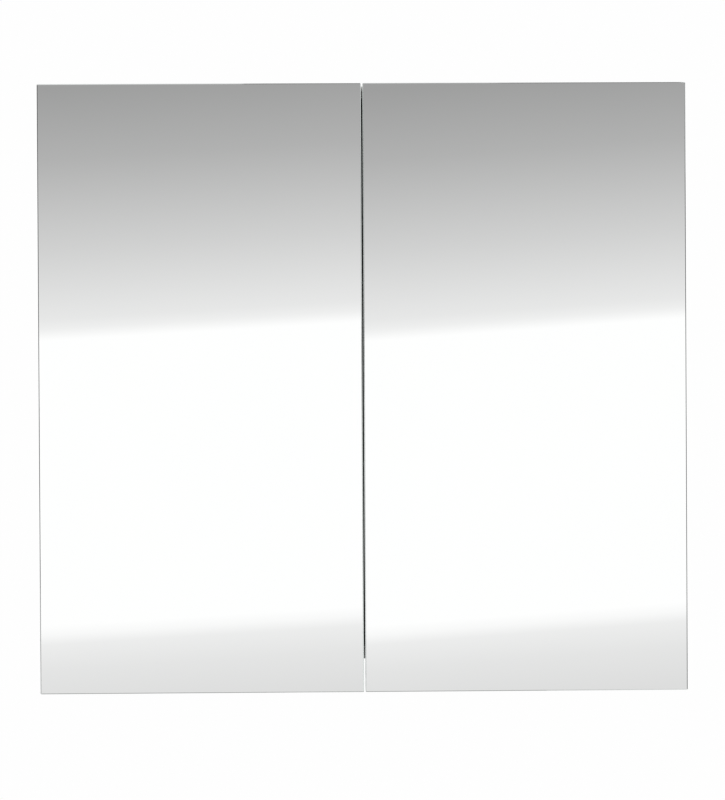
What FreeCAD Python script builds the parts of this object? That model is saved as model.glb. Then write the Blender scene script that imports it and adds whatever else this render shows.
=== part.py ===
import FreeCAD, Part

import math
import os
import re

from FreeCAD import Rotation, Vector
from Sketcher import Constraint

# Two-door mirrored medicine cabinet, hung on a wall.
# Frame: X to the right, Y into the wall, Z up, millimetres. The origin is on the wall plane, at the centre of
# the four wall screws. The doors' mirrors face -Y. The right door and its hinges mirror the left ones.

doc = FreeCAD.newDocument("medicine_cabinet")
sheet = doc.addObject("Spreadsheet::Sheet", "Sizes")

SIZES = {
    # carcass
    "cabinet_width": 800,       # over the side panels
    "carcass_height": 712,
    "carcass_depth": 148,       # wall plane to the front edges
    "board_thick": 16,
    "back_thick": 3,
    "groove_depth": 6,          # groove for the back panel
    "groove_play": 0.15,        # round the back panel in its groove
    "rail_thick": 15,
    "rail_tall": 60,
    "wall_screw_spacing": 640,
    "wall_screw_radius": 3,
    # doors
    "grip_overhang": 38,        # doors below the carcass
    "door_reveal": 1,           # door edge inside the carcass side
    "door_gap": 2,              # between the two doors
    "door_standoff": 2,         # door back to carcass front edge
    "door_thick": 15,
    "tape_thick": 1,
    "tape_wide": 25,
    "tape_inset": 14,
    "tape_count": 4,
    "glass_thick": 4,
    "glass_arris": 1,
    "buffer_radius": 4,
    "buffer_clear": 0.3,
    "buffer_inset": 22,         # buffer centre to the door's free edge
    # shelves
    "shelf_thick": 5,
    "shelf_deep": 112,
    "shelf_play": 1,
    "shelf_arris": 0.8,
    "compartments": 3,
    "pin_radius": 2.5,
    "pin_in": 9,
    "pin_out": 8,
    "pin_play": 0.05,
    "sleeve_wall": 1,
    "row_front": 36,            # front row of shelf holes, from the front edge
    "row_back": 40,             # back row, from the wall plane
    "row_pitch": 32,
    "row_holes": 5,
    # carcass joints
    "cam_radius": 7.5,
    "cam_deep": 12.5,
    "cam_reach": 24,            # cam centre to the side panel
    "cam_cap": 0.8,
    "cam_play": 0.1,
    "bolt_radius": 3,
    "bolt_in_side": 11,
    "bolt_play": 0.3,
    "dowel_radius": 4,
    "dowel_in_side": 12,
    "dowel_in_panel": 18,
    "dowel_play": 0.05,
    "dowel_end_play": 1,
    "joint_back": 37,           # cams from the wall plane and from the front edge
    "dowel_step": 23,           # each dowel from its cam, towards the middle
    "rail_dowel_radius": 3,
    "rail_dowel_step": 16,      # either side of the rail's centre line
    # hinges: cups in the doors, plates on the side panels
    "hinge_inset": 96,          # hinge centre to the carcass top or bottom
    "cup_radius": 17.5,
    "cup_wall": 1.1,
    "cup_floor": 0.8,
    "cup_deep": 11.5,
    "cup_edge": 22.5,           # cup centre to the door's edge
    "cup_play": 0.05,
    "flange_radius": 18.5,
    "flange_thick": 1,
    "ear_wide": 11,
    "ear_reach": 29,
    "ear_offset": 9.5,
    "cup_screw_pitch": 45,
    "cup_screw_radius": 1.7,
    "cup_screw_long": 10,
    "cup_screw_head": 3.4,
    "screw_play": 0.05,
    # linkage, from the cup's centre on the door's back face
    "arm_pivot_x": 4.5,         # outer link's pivot in the arm
    "arm_pivot_y": 6,
    "cup_pivot_x": -12.5,       # outer link's pivot in the cup
    "cup_pivot_y": -5,
    "inner_arm_x": 11.4,        # inner link's pivot in the arm
    "inner_arm_y": -2.9,
    "inner_cup_x": -8.85,       # inner link's pivot in the cup
    "inner_cup_y": -2.2,
    "bend_low_x": -11.6,        # control points of the outer link's curve
    "bend_low_y": -13.5,
    "bend_high_x": 27.4,
    "bend_high_y": -3.4,
    "dip_x": 2,                 # control point of the inner link's curve
    "dip_y": -9.6,
    "link_half_wide": 1.6,
    "link_pin": 1.25,
    "eye_wall": 1.15,           # round a link's pin
    "link_play": 0.05,
    "slot_travel": 3.2,         # of the inner link on its pin in the arm
    "slot_offset": 0.43,
    "slot_swing": 0.9,          # across the slot, either side of the pin
    "slot_wall": 1,
    "outer_link_half": 3.5,     # the layers of the linkage, across the hinge
    "inner_link_low": 4,
    "inner_link_high": 5.4,
    "stub_out": 0.2,            # stub pins past the inner link
    "arm_flange_low": 6,
    "arm_flange_high": 7.5,
    "rivet_head": 0.7,
    "rivet_radius": 2,
    "plate_thick": 2,
    "plate_line": 37,           # plate screws from the front edge
    "plate_wide": 30,
    "plate_reach": 22,
    "plate_screw_pitch": 32,
    "plate_screw_radius": 2.5,
    "plate_screw_long": 12,
    "plate_screw_head": 4,
    "riser_half": 5,
    "riser_play": 0.3,          # riser to the arm's web
    "riser_long": 34,
    "arm_web_x": 4,             # web's inner side, from the cup's centre
    "arm_web_thick": 1.5,
    "arm_front": 16,            # web's front end, from the door's back face
    "arm_reach": 21,            # arm behind the plate's screw line
    "arm_foot": 3,              # flange to the side panel
    "arm_step": 6,              # slope of the flange behind the web's front end
    "arm_screw_inset": 9,       # screws from the web's ends
    "arm_screw_radius": 1.9,
    "arm_screw_head": 3.5,
    "head_thick": 1.6,
    "arm_screw_in": 6,
}

for row, (alias, value) in enumerate(SIZES.items(), start=1):
    cell = f"A{row}"
    sheet.set(cell, str(value))
    sheet.setAlias(cell, alias)
doc.recompute()


def size(alias):
    """The value of one named size, in mm."""
    return float(sheet.get(alias))


def bind(text):
    """An expression with the sheet put before each of its names."""
    return re.sub(r"[A-Za-z_]\w*", lambda m: f"Sizes.{m[0]}" if m[0] in SIZES else m[0], str(text))


def place(obj, x="0", y="0", z="0"):
    """Bind the place of an object to three expressions."""
    for axis, text in (("x", x), ("y", y), ("z", z)):
        obj.setExpression(f"Placement.Base.{axis}", bind(text))
    return obj


# ---- helpers: primitives, bound to the sheet ----

def block(name, length, width, height, x, y, z):
    """A box with its lowest corner at x, y, z."""
    box = doc.addObject("Part::Box", name)
    for prop, text in (("Length", length), ("Width", width), ("Height", height)):
        box.setExpression(prop, bind(text))
    return place(box, x, y, z)


TURN = {"X": Rotation(Vector(0, 1, 0), 90), "Y": Rotation(Vector(1, 0, 0), -90), "Z": Rotation()}


def rod(name, radius, length, x, y, z, axis="Z"):
    """A cylinder from x, y, z along +X, +Y or +Z."""
    cylinder = doc.addObject("Part::Cylinder", name)
    cylinder.setExpression("Radius", bind(radius))
    cylinder.setExpression("Height", bind(length))
    cylinder.Placement = FreeCAD.Placement(Vector(), TURN[axis])
    return place(cylinder, x, y, z)


def fuse(name, pieces):
    """One solid of several overlapping pieces."""
    joined = doc.addObject("Part::MultiFuse", name)
    joined.Shapes = pieces
    joined.Refine = True
    return joined


def cut(name, base, tools):
    """A piece less one or more tools."""
    result = doc.addObject("Part::Cut", name)
    result.Base = base
    result.Tool = tools[0] if len(tools) == 1 else group(f"{name}_tools", tools)
    return result


def group(name, pieces):
    """Separate solids in one sub-part."""
    compound = doc.addObject("Part::Compound", name)
    compound.Links = pieces
    return compound


def mirrored(name, source):
    """The right-hand copy of a left-hand sub-part."""
    mirror = doc.addObject("Part::Mirroring", name)
    mirror.Source = source
    mirror.Base = Vector(0, 0, 0)
    mirror.Normal = Vector(1, 0, 0)
    return mirror


# ---- helpers: PartDesign bodies ----

def origin_plane(body, role):
    """One of a body's own origin planes."""
    return next(f for f in body.Origin.OriginFeatures if f.Role == role)


def rectangle(body, name, role, wide, tall, x="0", y="0", z="0"):
    """A sketch of a wide x tall rectangle with a corner at x, y, z from the plane's origin."""
    sketch = body.newObject("Sketcher::SketchObject", name)
    sketch.AttachmentSupport = [(origin_plane(body, role), "")]
    sketch.MapMode = "FlatFace"
    for axis, text in (("x", x), ("y", y), ("z", z)):
        sketch.setExpression(f"AttachmentOffset.Base.{axis}", bind(text))
    corners = [Vector(0, 0, 0), Vector(10, 0, 0), Vector(10, 10, 0), Vector(0, 10, 0)]
    for i in range(4):
        sketch.addGeometry(Part.LineSegment(corners[i], corners[(i + 1) % 4]), False)
    for i in range(4):
        sketch.addConstraint(Constraint("Coincident", i, 2, (i + 1) % 4, 1))
    for line, kind in ((0, "Horizontal"), (2, "Horizontal"), (1, "Vertical"), (3, "Vertical")):
        sketch.addConstraint(Constraint(kind, line))
    sketch.addConstraint(Constraint("Coincident", 0, 1, -1, 1))
    for line, label, text in ((0, "Wide", wide), (1, "Tall", tall)):
        index = sketch.addConstraint(Constraint("Distance", line, 10))
        sketch.renameConstraint(index, label)
        sketch.setExpression(f"Constraints.{label}", bind(text))
    return sketch


def circle(body, name, role, radius, x, y, z="0"):
    """A sketch of one circle with its centre at x, y, z from the plane's origin."""
    sketch = body.newObject("Sketcher::SketchObject", name)
    sketch.AttachmentSupport = [(origin_plane(body, role), "")]
    sketch.MapMode = "FlatFace"
    for axis, text in (("x", x), ("y", y), ("z", z)):
        sketch.setExpression(f"AttachmentOffset.Base.{axis}", bind(text))
    sketch.addGeometry(Part.Circle(Vector(), Vector(0, 0, 1), 1), False)
    sketch.addConstraint(Constraint("Coincident", 0, 3, -1, 1))
    index = sketch.addConstraint(Constraint("Radius", 0, 1))
    sketch.renameConstraint(index, "Size")
    sketch.setExpression("Constraints.Size", bind(radius))
    return sketch


def feature(body, kind, name, sketch, length, backwards=False):
    """A Pad or Pocket of a sketch, with its length bound."""
    made = body.newObject(f"PartDesign::{kind}", name)
    made.Profile = sketch
    made.setExpression("Length", bind(length))
    made.Reversed = backwards
    return made


def slab(name, role, wide, tall, thick, x, y, z, backwards=False):
    """A body holding one rectangular pad; its corner is at x, y, z."""
    body = doc.addObject("PartDesign::Body", name)
    outline = rectangle(body, f"{name}_outline", role, wide, tall)
    feature(body, "Pad", f"{name}_pad", outline, thick, backwards)
    return place(body, x, y, z)


def chamfer(body, name, length, wanted):
    """Chamfer the edges of the tip that a test picks."""
    doc.recompute()
    base = body.Tip
    names = [f"Edge{i}" for i, edge in enumerate(base.Shape.Edges, start=1) if wanted(edge)]
    made = body.newObject("PartDesign::Chamfer", name)
    made.Base = (base, names)
    made.setExpression("Size", bind(length))
    return made


# ---- places that several pieces share ----

INNER = "(cabinet_width / 2 - board_thick)"         # inner face of a side panel, from the middle
TOP = "(carcass_height / 2)"
CLEAR_TALL = "(carcass_height - 2 * board_thick)"   # inside the carcass
CLEAR_WIDE = "(cabinet_width - 2 * board_thick)"
BACK_FRONT = "(rail_thick + back_thick)"            # front face of the back panel, from the wall
DOOR_BACK = "(carcass_depth + door_standoff)"       # door panel's back face, from the wall
DOOR_FRONT = f"({DOOR_BACK} + door_thick)"
GLASS_BACK = f"({DOOR_FRONT} + tape_thick)"
DOOR_WIDE = "(cabinet_width / 2 - door_reveal - door_gap / 2)"
DOOR_TALL = "(carcass_height + grip_overhang)"
DOOR_LEFT = "(-cabinet_width / 2 + door_reveal)"
DOOR_BOTTOM = f"(-{TOP} - grip_overhang)"
RAIL_LINE = f"({TOP} - board_thick - rail_tall / 2)"  # centre line of a rail, from the middle
HINGE_LINE = f"({TOP} - hinge_inset)"
SHELF_LINE = f"({CLEAR_TALL} / compartments / 2)"   # shelf centres, from the middle
ROWS = ("(-carcass_depth + row_front)", "(-row_back)")
JOINTS_Y = ("(-joint_back)", "(-carcass_depth + joint_back)")
DOWELS_Y = ("(-joint_back - dowel_step)", "(-carcass_depth + joint_back + dowel_step)")
ENDS = (("top", 1), ("bottom", -1))
SIDES = (("left", -1), ("right", 1))
LEVELS = (("upper", 1), ("lower", -1))
PIN_LINE = "(shelf_thick / 2 + pin_radius + sleeve_wall)"  # shelf pin below its shelf's centre

nodes = []


def keep(obj):
    """Hand in an object as the sub-part that its label names."""
    nodes.append(obj)
    return obj


# ---- helpers for the hinges, left side; every place is in the hinge's own frame ----

CUP_X = "(cup_edge - board_thick + door_reveal)"    # cup's centre, from the side panel's inner face
CUP_BACK = "(-door_standoff)"                       # door's back face, from the carcass front edge


def in_hinge(x="0", y="0"):
    """A place in the hinge's frame, as two expressions in the cabinet's."""
    return f"-{INNER} + ({x})", f"-carcass_depth + ({y})"


def hinge_block(name, long_x, long_y, tall, x, y, z):
    """A box in the hinge's frame."""
    at_x, at_y = in_hinge(x, y)
    return block(name, long_x, long_y, tall, at_x, at_y, z)


def hinge_rod(name, radius, length, x, y, z, axis="Z"):
    """A cylinder in the hinge's frame."""
    at_x, at_y = in_hinge(x, y)
    return rod(name, radius, length, at_x, at_y, z, axis)


def per_level(make):
    """What a function makes for the upper and the lower hinge."""
    made = []
    for level, up in LEVELS:
        made += make(level, f"{up} * {HINGE_LINE}")
    return made


def plate_screw_rods(name, grow, level, z):
    """The two shanks of a mounting plate's screws, or the bores round them."""
    return [hinge_rod(f"{name}_{level}_{i}", f"plate_screw_radius + {grow}",
                      f"plate_screw_long + plate_thick + {grow}", f"-plate_screw_long - {grow}",
                      "plate_line", f"{z} + ({step}) * plate_screw_pitch / 2", "X")
            for i, step in enumerate((-1, 1))]


# ---- carcass joints: the bores that the boards share ----

def dowel_bores(tag, sign, level):
    """Bores in a side and an end panel for the two dowels of one corner."""
    bores = []
    for i, y in enumerate(DOWELS_Y):
        deep = "dowel_in_side + dowel_in_panel + 2 * dowel_end_play"
        start = (f"{INNER} - dowel_in_panel - dowel_end_play" if sign > 0
                 else f"-{INNER} - dowel_in_side - dowel_end_play")
        bores.append(rod(f"{tag}_dowel_bore_{i}", "dowel_radius + dowel_play", deep, start, y, level, "X"))
    return bores


def bolt_bores(tag, sign, level):
    """Bores in a side and an end panel for the two cam bolts of one corner."""
    bores = []
    for i, y in enumerate(JOINTS_Y):
        start = f"{INNER} - cam_reach" if sign > 0 else f"-{INNER}"
        side = f"{INNER}" if sign > 0 else f"-{INNER} - bolt_in_side"
        bores.append(rod(f"{tag}_bolt_bore_{i}", "bolt_radius + bolt_play", "cam_reach", start, y, level, "X"))
        bores.append(rod(f"{tag}_thread_bore_{i}", "bolt_radius", "bolt_in_side", side, y, level, "X"))
    return bores


def corner_bores():
    """Every bore that crosses from the side panels into the top and bottom panels."""
    bores = []
    for end, up in ENDS:
        level = f"{up} * ({TOP} - board_thick / 2)"
        for hand, sign in SIDES:
            tag = f"{end}_{hand}"
            bores += dowel_bores(tag, sign, level) + bolt_bores(tag, sign, level)
    return bores


def rail_bores():
    """Bores for the dowels between the rails and the side panels."""
    bores = []
    for end, up in ENDS:
        for hand, sign in SIDES:
            for i, step in enumerate((-1, 1)):
                start = (f"{INNER} - dowel_in_panel - dowel_end_play" if sign > 0
                         else f"-{INNER} - dowel_in_side - dowel_end_play")
                bores.append(rod(f"{end}_{hand}_rail_bore_{i}", "rail_dowel_radius + dowel_play",
                                 "dowel_in_side + dowel_in_panel + 2 * dowel_end_play", start,
                                 "-rail_thick / 2", f"{up} * {RAIL_LINE} + {step} * rail_dowel_step", "X"))
    return bores


def groove():
    """The space of the back panel and its play, which the boards' grooves leave."""
    return block("groove_space", f"{CLEAR_WIDE} + 2 * groove_depth", "back_thick + 2 * groove_play",
                 f"{CLEAR_TALL} + 2 * groove_depth", f"-{INNER} - groove_depth",
                 f"-{BACK_FRONT} - groove_play", f"-{TOP} + board_thick - groove_depth")


corner_tools = group("corner_tools", corner_bores())
rail_tools = group("rail_tools", rail_bores())
groove_tool = groove()
plate_screw_tools = group("plate_screw_tools", per_level(
    lambda level, z: plate_screw_rods("plate_screw_bore", "screw_play", level, z)))


# ---- carcass boards ----

def side_panel():
    """The left side panel: board, rows of shelf holes, groove and bores."""
    body = slab("side_board", "YZ_Plane", "carcass_depth", "carcass_height", "board_thick",
                "-cabinet_width / 2", "-carcass_depth", f"-{TOP}")
    doc.recompute()
    full = body.Shape.Volume
    rows = []
    for level, up in LEVELS:
        for i, row_y in enumerate(ROWS):
            start = f"{TOP} + {up} * {SHELF_LINE} - {PIN_LINE} - (row_holes - 1) / 2 * row_pitch"
            hole = circle(body, f"hole_{level}_{i}", "YZ_Plane", "pin_radius + pin_play",
                          f"carcass_depth + {row_y}", start, "board_thick")
            pocket = feature(body, "Pocket", f"pocket_{level}_{i}", hole, "pin_in + pin_play")
            doc.recompute()
            pattern = body.newObject("PartDesign::LinearPattern", f"row_{level}_{i}")
            pattern.Originals = [pocket]
            pattern.Direction = (hole, ["V_Axis"])
            pattern.setExpression("Length", bind("(row_holes - 1) * row_pitch"))
            pattern.setExpression("Occurrences", bind("row_holes"))
            body.Tip = pattern
            doc.recompute()
            rows.append(pattern)
    hole_volume = math.pi * (size("pin_radius") + size("pin_play")) ** 2 * (size("pin_in") + size("pin_play"))
    expected = len(rows) * size("row_holes") * hole_volume
    assert abs(full - body.Shape.Volume - expected) < 0.02 * expected, "the shelf holes aren't all cut"
    return body


side_left = keep(cut("side_left", side_panel(), [corner_tools, rail_tools, groove_tool, plate_screw_tools]))
keep(mirrored("side_right", side_left))


def cams(play, cap):
    """The eight cam housings' cylinders, grown by a play and short of the outer face by a cap."""
    found = []
    for end, up in ENDS:
        for hand, sign in SIDES:
            for i, y in enumerate(JOINTS_Y):
                low = f"{TOP} - cam_deep" if up > 0 else f"-{TOP} + {cap}"
                found.append(rod(f"cam_{end}_{hand}_{i}", f"cam_radius + {play}", f"cam_deep - {cap}",
                                 f"{sign} * ({INNER} - cam_reach)", y, low))
    return found


cam_sockets = group("cam_sockets", cams("cam_play", "0"))
for end, up in ENDS:
    board = block(f"{end}_board", CLEAR_WIDE, "carcass_depth", "board_thick", f"-{INNER}", "-carcass_depth",
                  f"{TOP} - board_thick" if up > 0 else f"-{TOP}")
    keep(cut(f"{end}_panel", board, [corner_tools, groove_tool, cam_sockets]))


def wall_holes(length):
    """The four wall screw holes, through the rails and the back panel."""
    return [rod(f"wall_hole_{end}_{hand}", "wall_screw_radius", length, f"{sign} * wall_screw_spacing / 2",
                f"-({length})", f"{up} * {RAIL_LINE}", "Y") for end, up in ENDS for hand, sign in SIDES]


wall_tools = group("wall_tools", wall_holes(f"{BACK_FRONT} + groove_play"))
for level, up in LEVELS:
    rail = block(f"{level}_rail_board", CLEAR_WIDE, "rail_thick", "rail_tall", f"-{INNER}", "-rail_thick",
                 f"{up} * {RAIL_LINE} - rail_tall / 2")
    keep(cut(f"{level}_rail", rail, [wall_tools, rail_tools]))

back_reach = "(groove_depth - 2 * groove_play)"
back_sheet = slab("back_sheet", "XZ_Plane", f"{CLEAR_WIDE} + 2 * {back_reach}",
                  f"{CLEAR_TALL} + 2 * {back_reach}", "back_thick", f"-{INNER} - {back_reach}", "-rail_thick",
                  f"-{TOP} + board_thick - {back_reach}")
keep(cut("back_panel", back_sheet, [wall_tools]))


# ---- carcass fittings ----

keep(group("dowels", [
    rod(f"dowel_{end}_{hand}_{i}", "dowel_radius", "dowel_in_side + dowel_in_panel",
        f"{INNER} - dowel_in_panel" if sign > 0 else f"-{INNER} - dowel_in_side", y,
        f"{up} * ({TOP} - board_thick / 2)", "X")
    for end, up in ENDS for hand, sign in SIDES for i, y in enumerate(DOWELS_Y)]))

keep(group("rail_dowels", [
    rod(f"rail_dowel_{end}_{hand}_{step}", "rail_dowel_radius", "dowel_in_side + dowel_in_panel",
        f"{INNER} - dowel_in_panel" if sign > 0 else f"-{INNER} - dowel_in_side", "-rail_thick / 2",
        f"{up} * {RAIL_LINE} + ({step}) * rail_dowel_step", "X")
    for end, up in ENDS for hand, sign in SIDES for step in (-1, 1)]))

BOLT_END = "(cam_reach + bolt_radius)"              # the bolt's head ends inside its cam
keep(group("cam_bolts", [
    rod(f"bolt_{end}_{hand}_{i}", "bolt_radius", f"bolt_in_side + {BOLT_END}",
        f"{INNER} - {BOLT_END}" if sign > 0 else f"-{INNER} - bolt_in_side", y,
        f"{up} * ({TOP} - board_thick / 2)", "X")
    for end, up in ENDS for hand, sign in SIDES for i, y in enumerate(JOINTS_Y)]))

bolt_room = group("bolt_room", [
    rod(f"room_{end}_{hand}_{i}", "bolt_radius + bolt_play", f"{BOLT_END} + bolt_play",
        f"{INNER} - {BOLT_END} - bolt_play" if sign > 0 else f"-{INNER}", y,
        f"{up} * ({TOP} - board_thick / 2)", "X")
    for end, up in ENDS for hand, sign in SIDES for i, y in enumerate(JOINTS_Y)])
keep(cut("cam_housings", group("cam_bodies", cams("0", "cam_cap")), [bolt_room]))

keep(group("cam_covers", [
    rod(f"cover_{end}_{hand}_{i}", "cam_radius", "cam_cap", f"{sign} * ({INNER} - cam_reach)", y,
        f"{TOP} - cam_cap" if up > 0 else f"-{TOP}")
    for end, up in ENDS for hand, sign in SIDES for i, y in enumerate(JOINTS_Y)]))


# ---- glass shelves on pins with soft sleeves ----

for level, up in LEVELS:
    shelf = slab(f"{level}_shelf", "XY_Plane", f"{CLEAR_WIDE} - 2 * shelf_play", "shelf_deep", "shelf_thick",
                 f"-{INNER} + shelf_play", f"-{BACK_FRONT} - 2 * shelf_play - shelf_deep",
                 f"{up} * {SHELF_LINE} - shelf_thick / 2")
    chamfer(shelf, f"{level}_shelf_arris", "shelf_arris",
            lambda edge: abs(edge.tangentAt(edge.FirstParameter).z) < 0.5)
    keep(shelf)


def shelf_rods(name, radius, length, start):
    """One rod for each of the eight shelf pins; start is measured outwards from the inner face."""
    return [rod(f"{name}_{level}_{hand}_{i}", radius, length,
                f"{INNER} + {start}" if sign > 0 else f"-{INNER} - {start} - ({length})", y,
                f"{up} * {SHELF_LINE} - {PIN_LINE}", "X")
            for level, up in LEVELS for hand, sign in SIDES for i, y in enumerate(ROWS)]


keep(group("shelf_pins", shelf_rods("pin", "pin_radius", "pin_in + pin_out", "(-pin_out)")))
keep(cut("shelf_pin_sleeves",
         group("sleeve_bodies", shelf_rods("sleeve", "pin_radius + sleeve_wall", "pin_out", "(-pin_out)")),
         [group("sleeve_bores", shelf_rods("sleeve_bore", "pin_radius", "pin_out", "(-pin_out)"))]))


# ---- the cups and their pins, left side ----

EAR_X = f"({CUP_X} + ear_offset)"


def cups(level, z):
    """A cup: drilled-in bowl, flange and two screw ears, open at the back."""
    bowl = hinge_rod(f"cup_bowl_{level}", "cup_radius", "cup_deep", CUP_X, f"{CUP_BACK} - cup_deep", z, "Y")
    flange = hinge_rod(f"cup_flange_{level}", "flange_radius", "flange_thick", CUP_X, CUP_BACK, z, "Y")
    ear = hinge_block(f"cup_ear_{level}", "ear_wide", "flange_thick", "2 * ear_reach",
                      f"{EAR_X} - ear_wide / 2", CUP_BACK, f"{z} - ear_reach")
    hollow = hinge_rod(f"cup_hollow_{level}", "cup_radius - cup_wall", "cup_deep - cup_floor + flange_thick",
                       CUP_X, f"{CUP_BACK} - cup_deep + cup_floor", z, "Y")
    return [cut(f"cup_{level}", fuse(f"cup_solid_{level}", [bowl, flange, ear]), [hollow])]


def cup_screws(level, z, play="0"):
    """The two screws of a cup: shank in the door, head on the ear."""
    found = []
    for i, step in enumerate((-1, 1)):
        at = f"{z} + ({step}) * cup_screw_pitch / 2"
        shank = hinge_rod(f"cup_screw_{level}_{i}", "cup_screw_radius", "cup_screw_long + flange_thick", EAR_X,
                          f"{CUP_BACK} - cup_screw_long", at, "Y")
        head = hinge_rod(f"cup_screw_head_{level}_{i}", "cup_screw_head", "head_thick / 4", EAR_X,
                         f"{CUP_BACK} + flange_thick", at, "Y")
        found.append(fuse(f"cup_screw_all_{level}_{i}", [shank, head]))
    return found


def cup_screw_bores(level, z):
    """Clearance for the shanks of a cup's screws."""
    return [hinge_rod(f"cup_screw_bore_{level}_{i}", "cup_screw_radius + screw_play",
                      "cup_screw_long + flange_thick + screw_play", EAR_X,
                      f"{CUP_BACK} - cup_screw_long - screw_play", f"{z} + ({step}) * cup_screw_pitch / 2", "Y")
            for i, step in enumerate((-1, 1))]


def cup_pins(level, z):
    """The outer link's pin, across the cup, and the inner link's two stubs; each ends in the cup's wall."""
    def reach(x):
        """Half the cup's inner width, along the hinge, at a pin."""
        return f"sqrt((cup_radius - cup_wall) ^ 2 - {x} ^ 2)"

    found = [hinge_rod(f"outer_cup_pin_{level}", "link_pin", f"2 * {reach('cup_pivot_x')}",
                       f"{CUP_X} + cup_pivot_x", f"{CUP_BACK} + cup_pivot_y", f"{z} - {reach('cup_pivot_x')}")]
    low = "(inner_link_low - stub_out)"
    for hand, sign in (("down", -1), ("up", 1)):
        start = f"{z} + {low}" if sign > 0 else f"{z} - {reach('inner_cup_x')}"
        found.append(hinge_rod(f"inner_cup_pin_{level}_{hand}", "link_pin", f"{reach('inner_cup_x')} - {low}",
                               f"{CUP_X} + inner_cup_x", f"{CUP_BACK} + inner_cup_y", start))
    return found


cup_screw_tools = group("cup_screw_tools", per_level(cup_screw_bores))
left_cup_pins = keep(group("left_cup_pins", per_level(cup_pins)))
left_cups = keep(cut("left_hinge_cups", group("left_cup_pair", per_level(cups)),
                     [cup_screw_tools, left_cup_pins]))
left_cup_screws = keep(group("left_cup_screws", per_level(cup_screws)))


# ---- the links: Part shapes, because their outlines are offset curves ----

def point(x_name, y_name):
    """A point of the linkage, as a vector on the hinge's middle plane."""
    return Vector(size(x_name), size(y_name), 0)


def bezier(poles, t):
    """A point of a Bezier curve and its left-hand normal."""
    rows = list(poles)
    while len(rows) > 2:
        rows = [a + (b - a) * t for a, b in zip(rows, rows[1:])]
    along = (rows[1] - rows[0]).normalize()
    return rows[0] + (rows[1] - rows[0]) * t, Vector(-along.y, along.x, 0)


def ribbon(poles, half_wide, low, high, spans=8):
    """A plate that follows a curve at a constant width, between two heights."""
    marks = [bezier(poles, i / spans) for i in range(spans + 1)]
    left = Part.BSplineCurve()
    left.interpolate([p + n * half_wide for p, n in marks])
    right = Part.BSplineCurve()
    right.interpolate([p - n * half_wide for p, n in marks])
    ends = [Part.makeLine(left.EndPoint, right.EndPoint), Part.makeLine(right.StartPoint, left.StartPoint)]
    wire = Part.Wire([left.toShape(), ends[0], right.toShape(), ends[1]])
    face = Part.Face(wire)
    face.translate(Vector(0, 0, low))
    return face.extrude(Vector(0, 0, high - low))


def disc(centre, radius, low, high):
    """A cylinder about a point of the linkage, between two heights."""
    return Part.makeCylinder(radius, high - low, Vector(centre.x, centre.y, low))


def both_layers(make, low, high):
    """A shape made in a layer above the hinge's middle plane and in the same layer below."""
    return [make(low, high), make(-high, -low)]


def to_levels(shapes):
    """Copies of a hinge's solids at the upper and the lower cup of the left door."""
    at_x = -size("cabinet_width") / 2 + size("door_reveal") + size("cup_edge")
    at_y = -size("carcass_depth") - size("door_standoff")
    at_z = size("carcass_height") / 2 - size("hinge_inset")
    copies = []
    for sign in (1, -1):
        for shape in shapes:
            copy = shape.copy()
            copy.translate(Vector(at_x, at_y, sign * at_z))
            copies.append(copy)
    return Part.makeCompound(copies)


def hand_made(name, shapes):
    """A sub-part whose shape the functions above make."""
    made = doc.addObject("Part::Feature", name)
    made.Shape = to_levels(shapes)
    made.Placement = FreeCAD.Placement()
    return made


arm_pivot = point("arm_pivot_x", "arm_pivot_y")
cup_pivot = point("cup_pivot_x", "cup_pivot_y")
inner_arm = point("inner_arm_x", "inner_arm_y")
inner_cup = point("inner_cup_x", "inner_cup_y")
eye_bore = size("link_pin") + size("link_play")
eye_radius = size("link_pin") + size("eye_wall")
slot_radius = size("link_pin") + size("slot_swing")


def outer_link():
    """The goose-neck link between the arm and the cup, in the middle layer."""
    half = size("outer_link_half")
    poles = [cup_pivot, point("bend_low_x", "bend_low_y"), point("bend_high_x", "bend_high_y"), arm_pivot]
    solid = ribbon(poles, size("link_half_wide"), -half, half)
    for pivot in (cup_pivot, arm_pivot):
        solid = solid.fuse(disc(pivot, eye_radius, -half, half))
    for pivot in (cup_pivot, arm_pivot):
        solid = solid.cut(disc(pivot, eye_bore, -half, half))
    return solid


def slot_shape(radius, low, high):
    """The stadium that the arm's pin travels in, in the inner link."""
    along = (inner_arm - inner_cup).normalize()
    across = Vector(-along.y, along.x, 0) * size("slot_offset")
    start = inner_arm + across
    end = start - along * size("slot_travel")
    wide = Vector(-along.y, along.x, 0) * radius
    wire = Part.makePolygon([start + wide, end + wide, end - wide, start - wide, start + wide])
    face = Part.Face(wire)
    face.translate(Vector(0, 0, low))
    stadium = face.extrude(Vector(0, 0, high - low))
    return stadium.fuse(disc(start, radius, low, high)).fuse(disc(end, radius, low, high))


def inner_plate(low, high):
    """One of the two inner link plates: an eye on the cup's stub and a slot on the arm's pin."""
    solid = ribbon([inner_cup, point("dip_x", "dip_y"), inner_arm], size("link_half_wide"), low, high)
    solid = solid.fuse(disc(inner_cup, eye_radius, low, high))
    solid = solid.fuse(slot_shape(slot_radius + size("slot_wall"), low, high))
    solid = solid.cut(disc(inner_cup, eye_bore, low, high))
    return solid.cut(slot_shape(slot_radius, low, high))


left_outer_links = keep(hand_made("left_outer_links", [outer_link()]))
left_inner_links = keep(hand_made("left_inner_links", both_layers(
    inner_plate, size("inner_link_low"), size("inner_link_high"))))


# ---- arms, their plates and screws ----

PANEL_FACE = size("cup_edge") - size("board_thick") + size("door_reveal")   # cup's centre to the side panel
ARM_BACK = size("door_standoff") + size("plate_line") + size("arm_reach")
ARM_SCREWS = (size("arm_front") + size("arm_screw_inset"), ARM_BACK - size("arm_screw_inset"))


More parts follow.
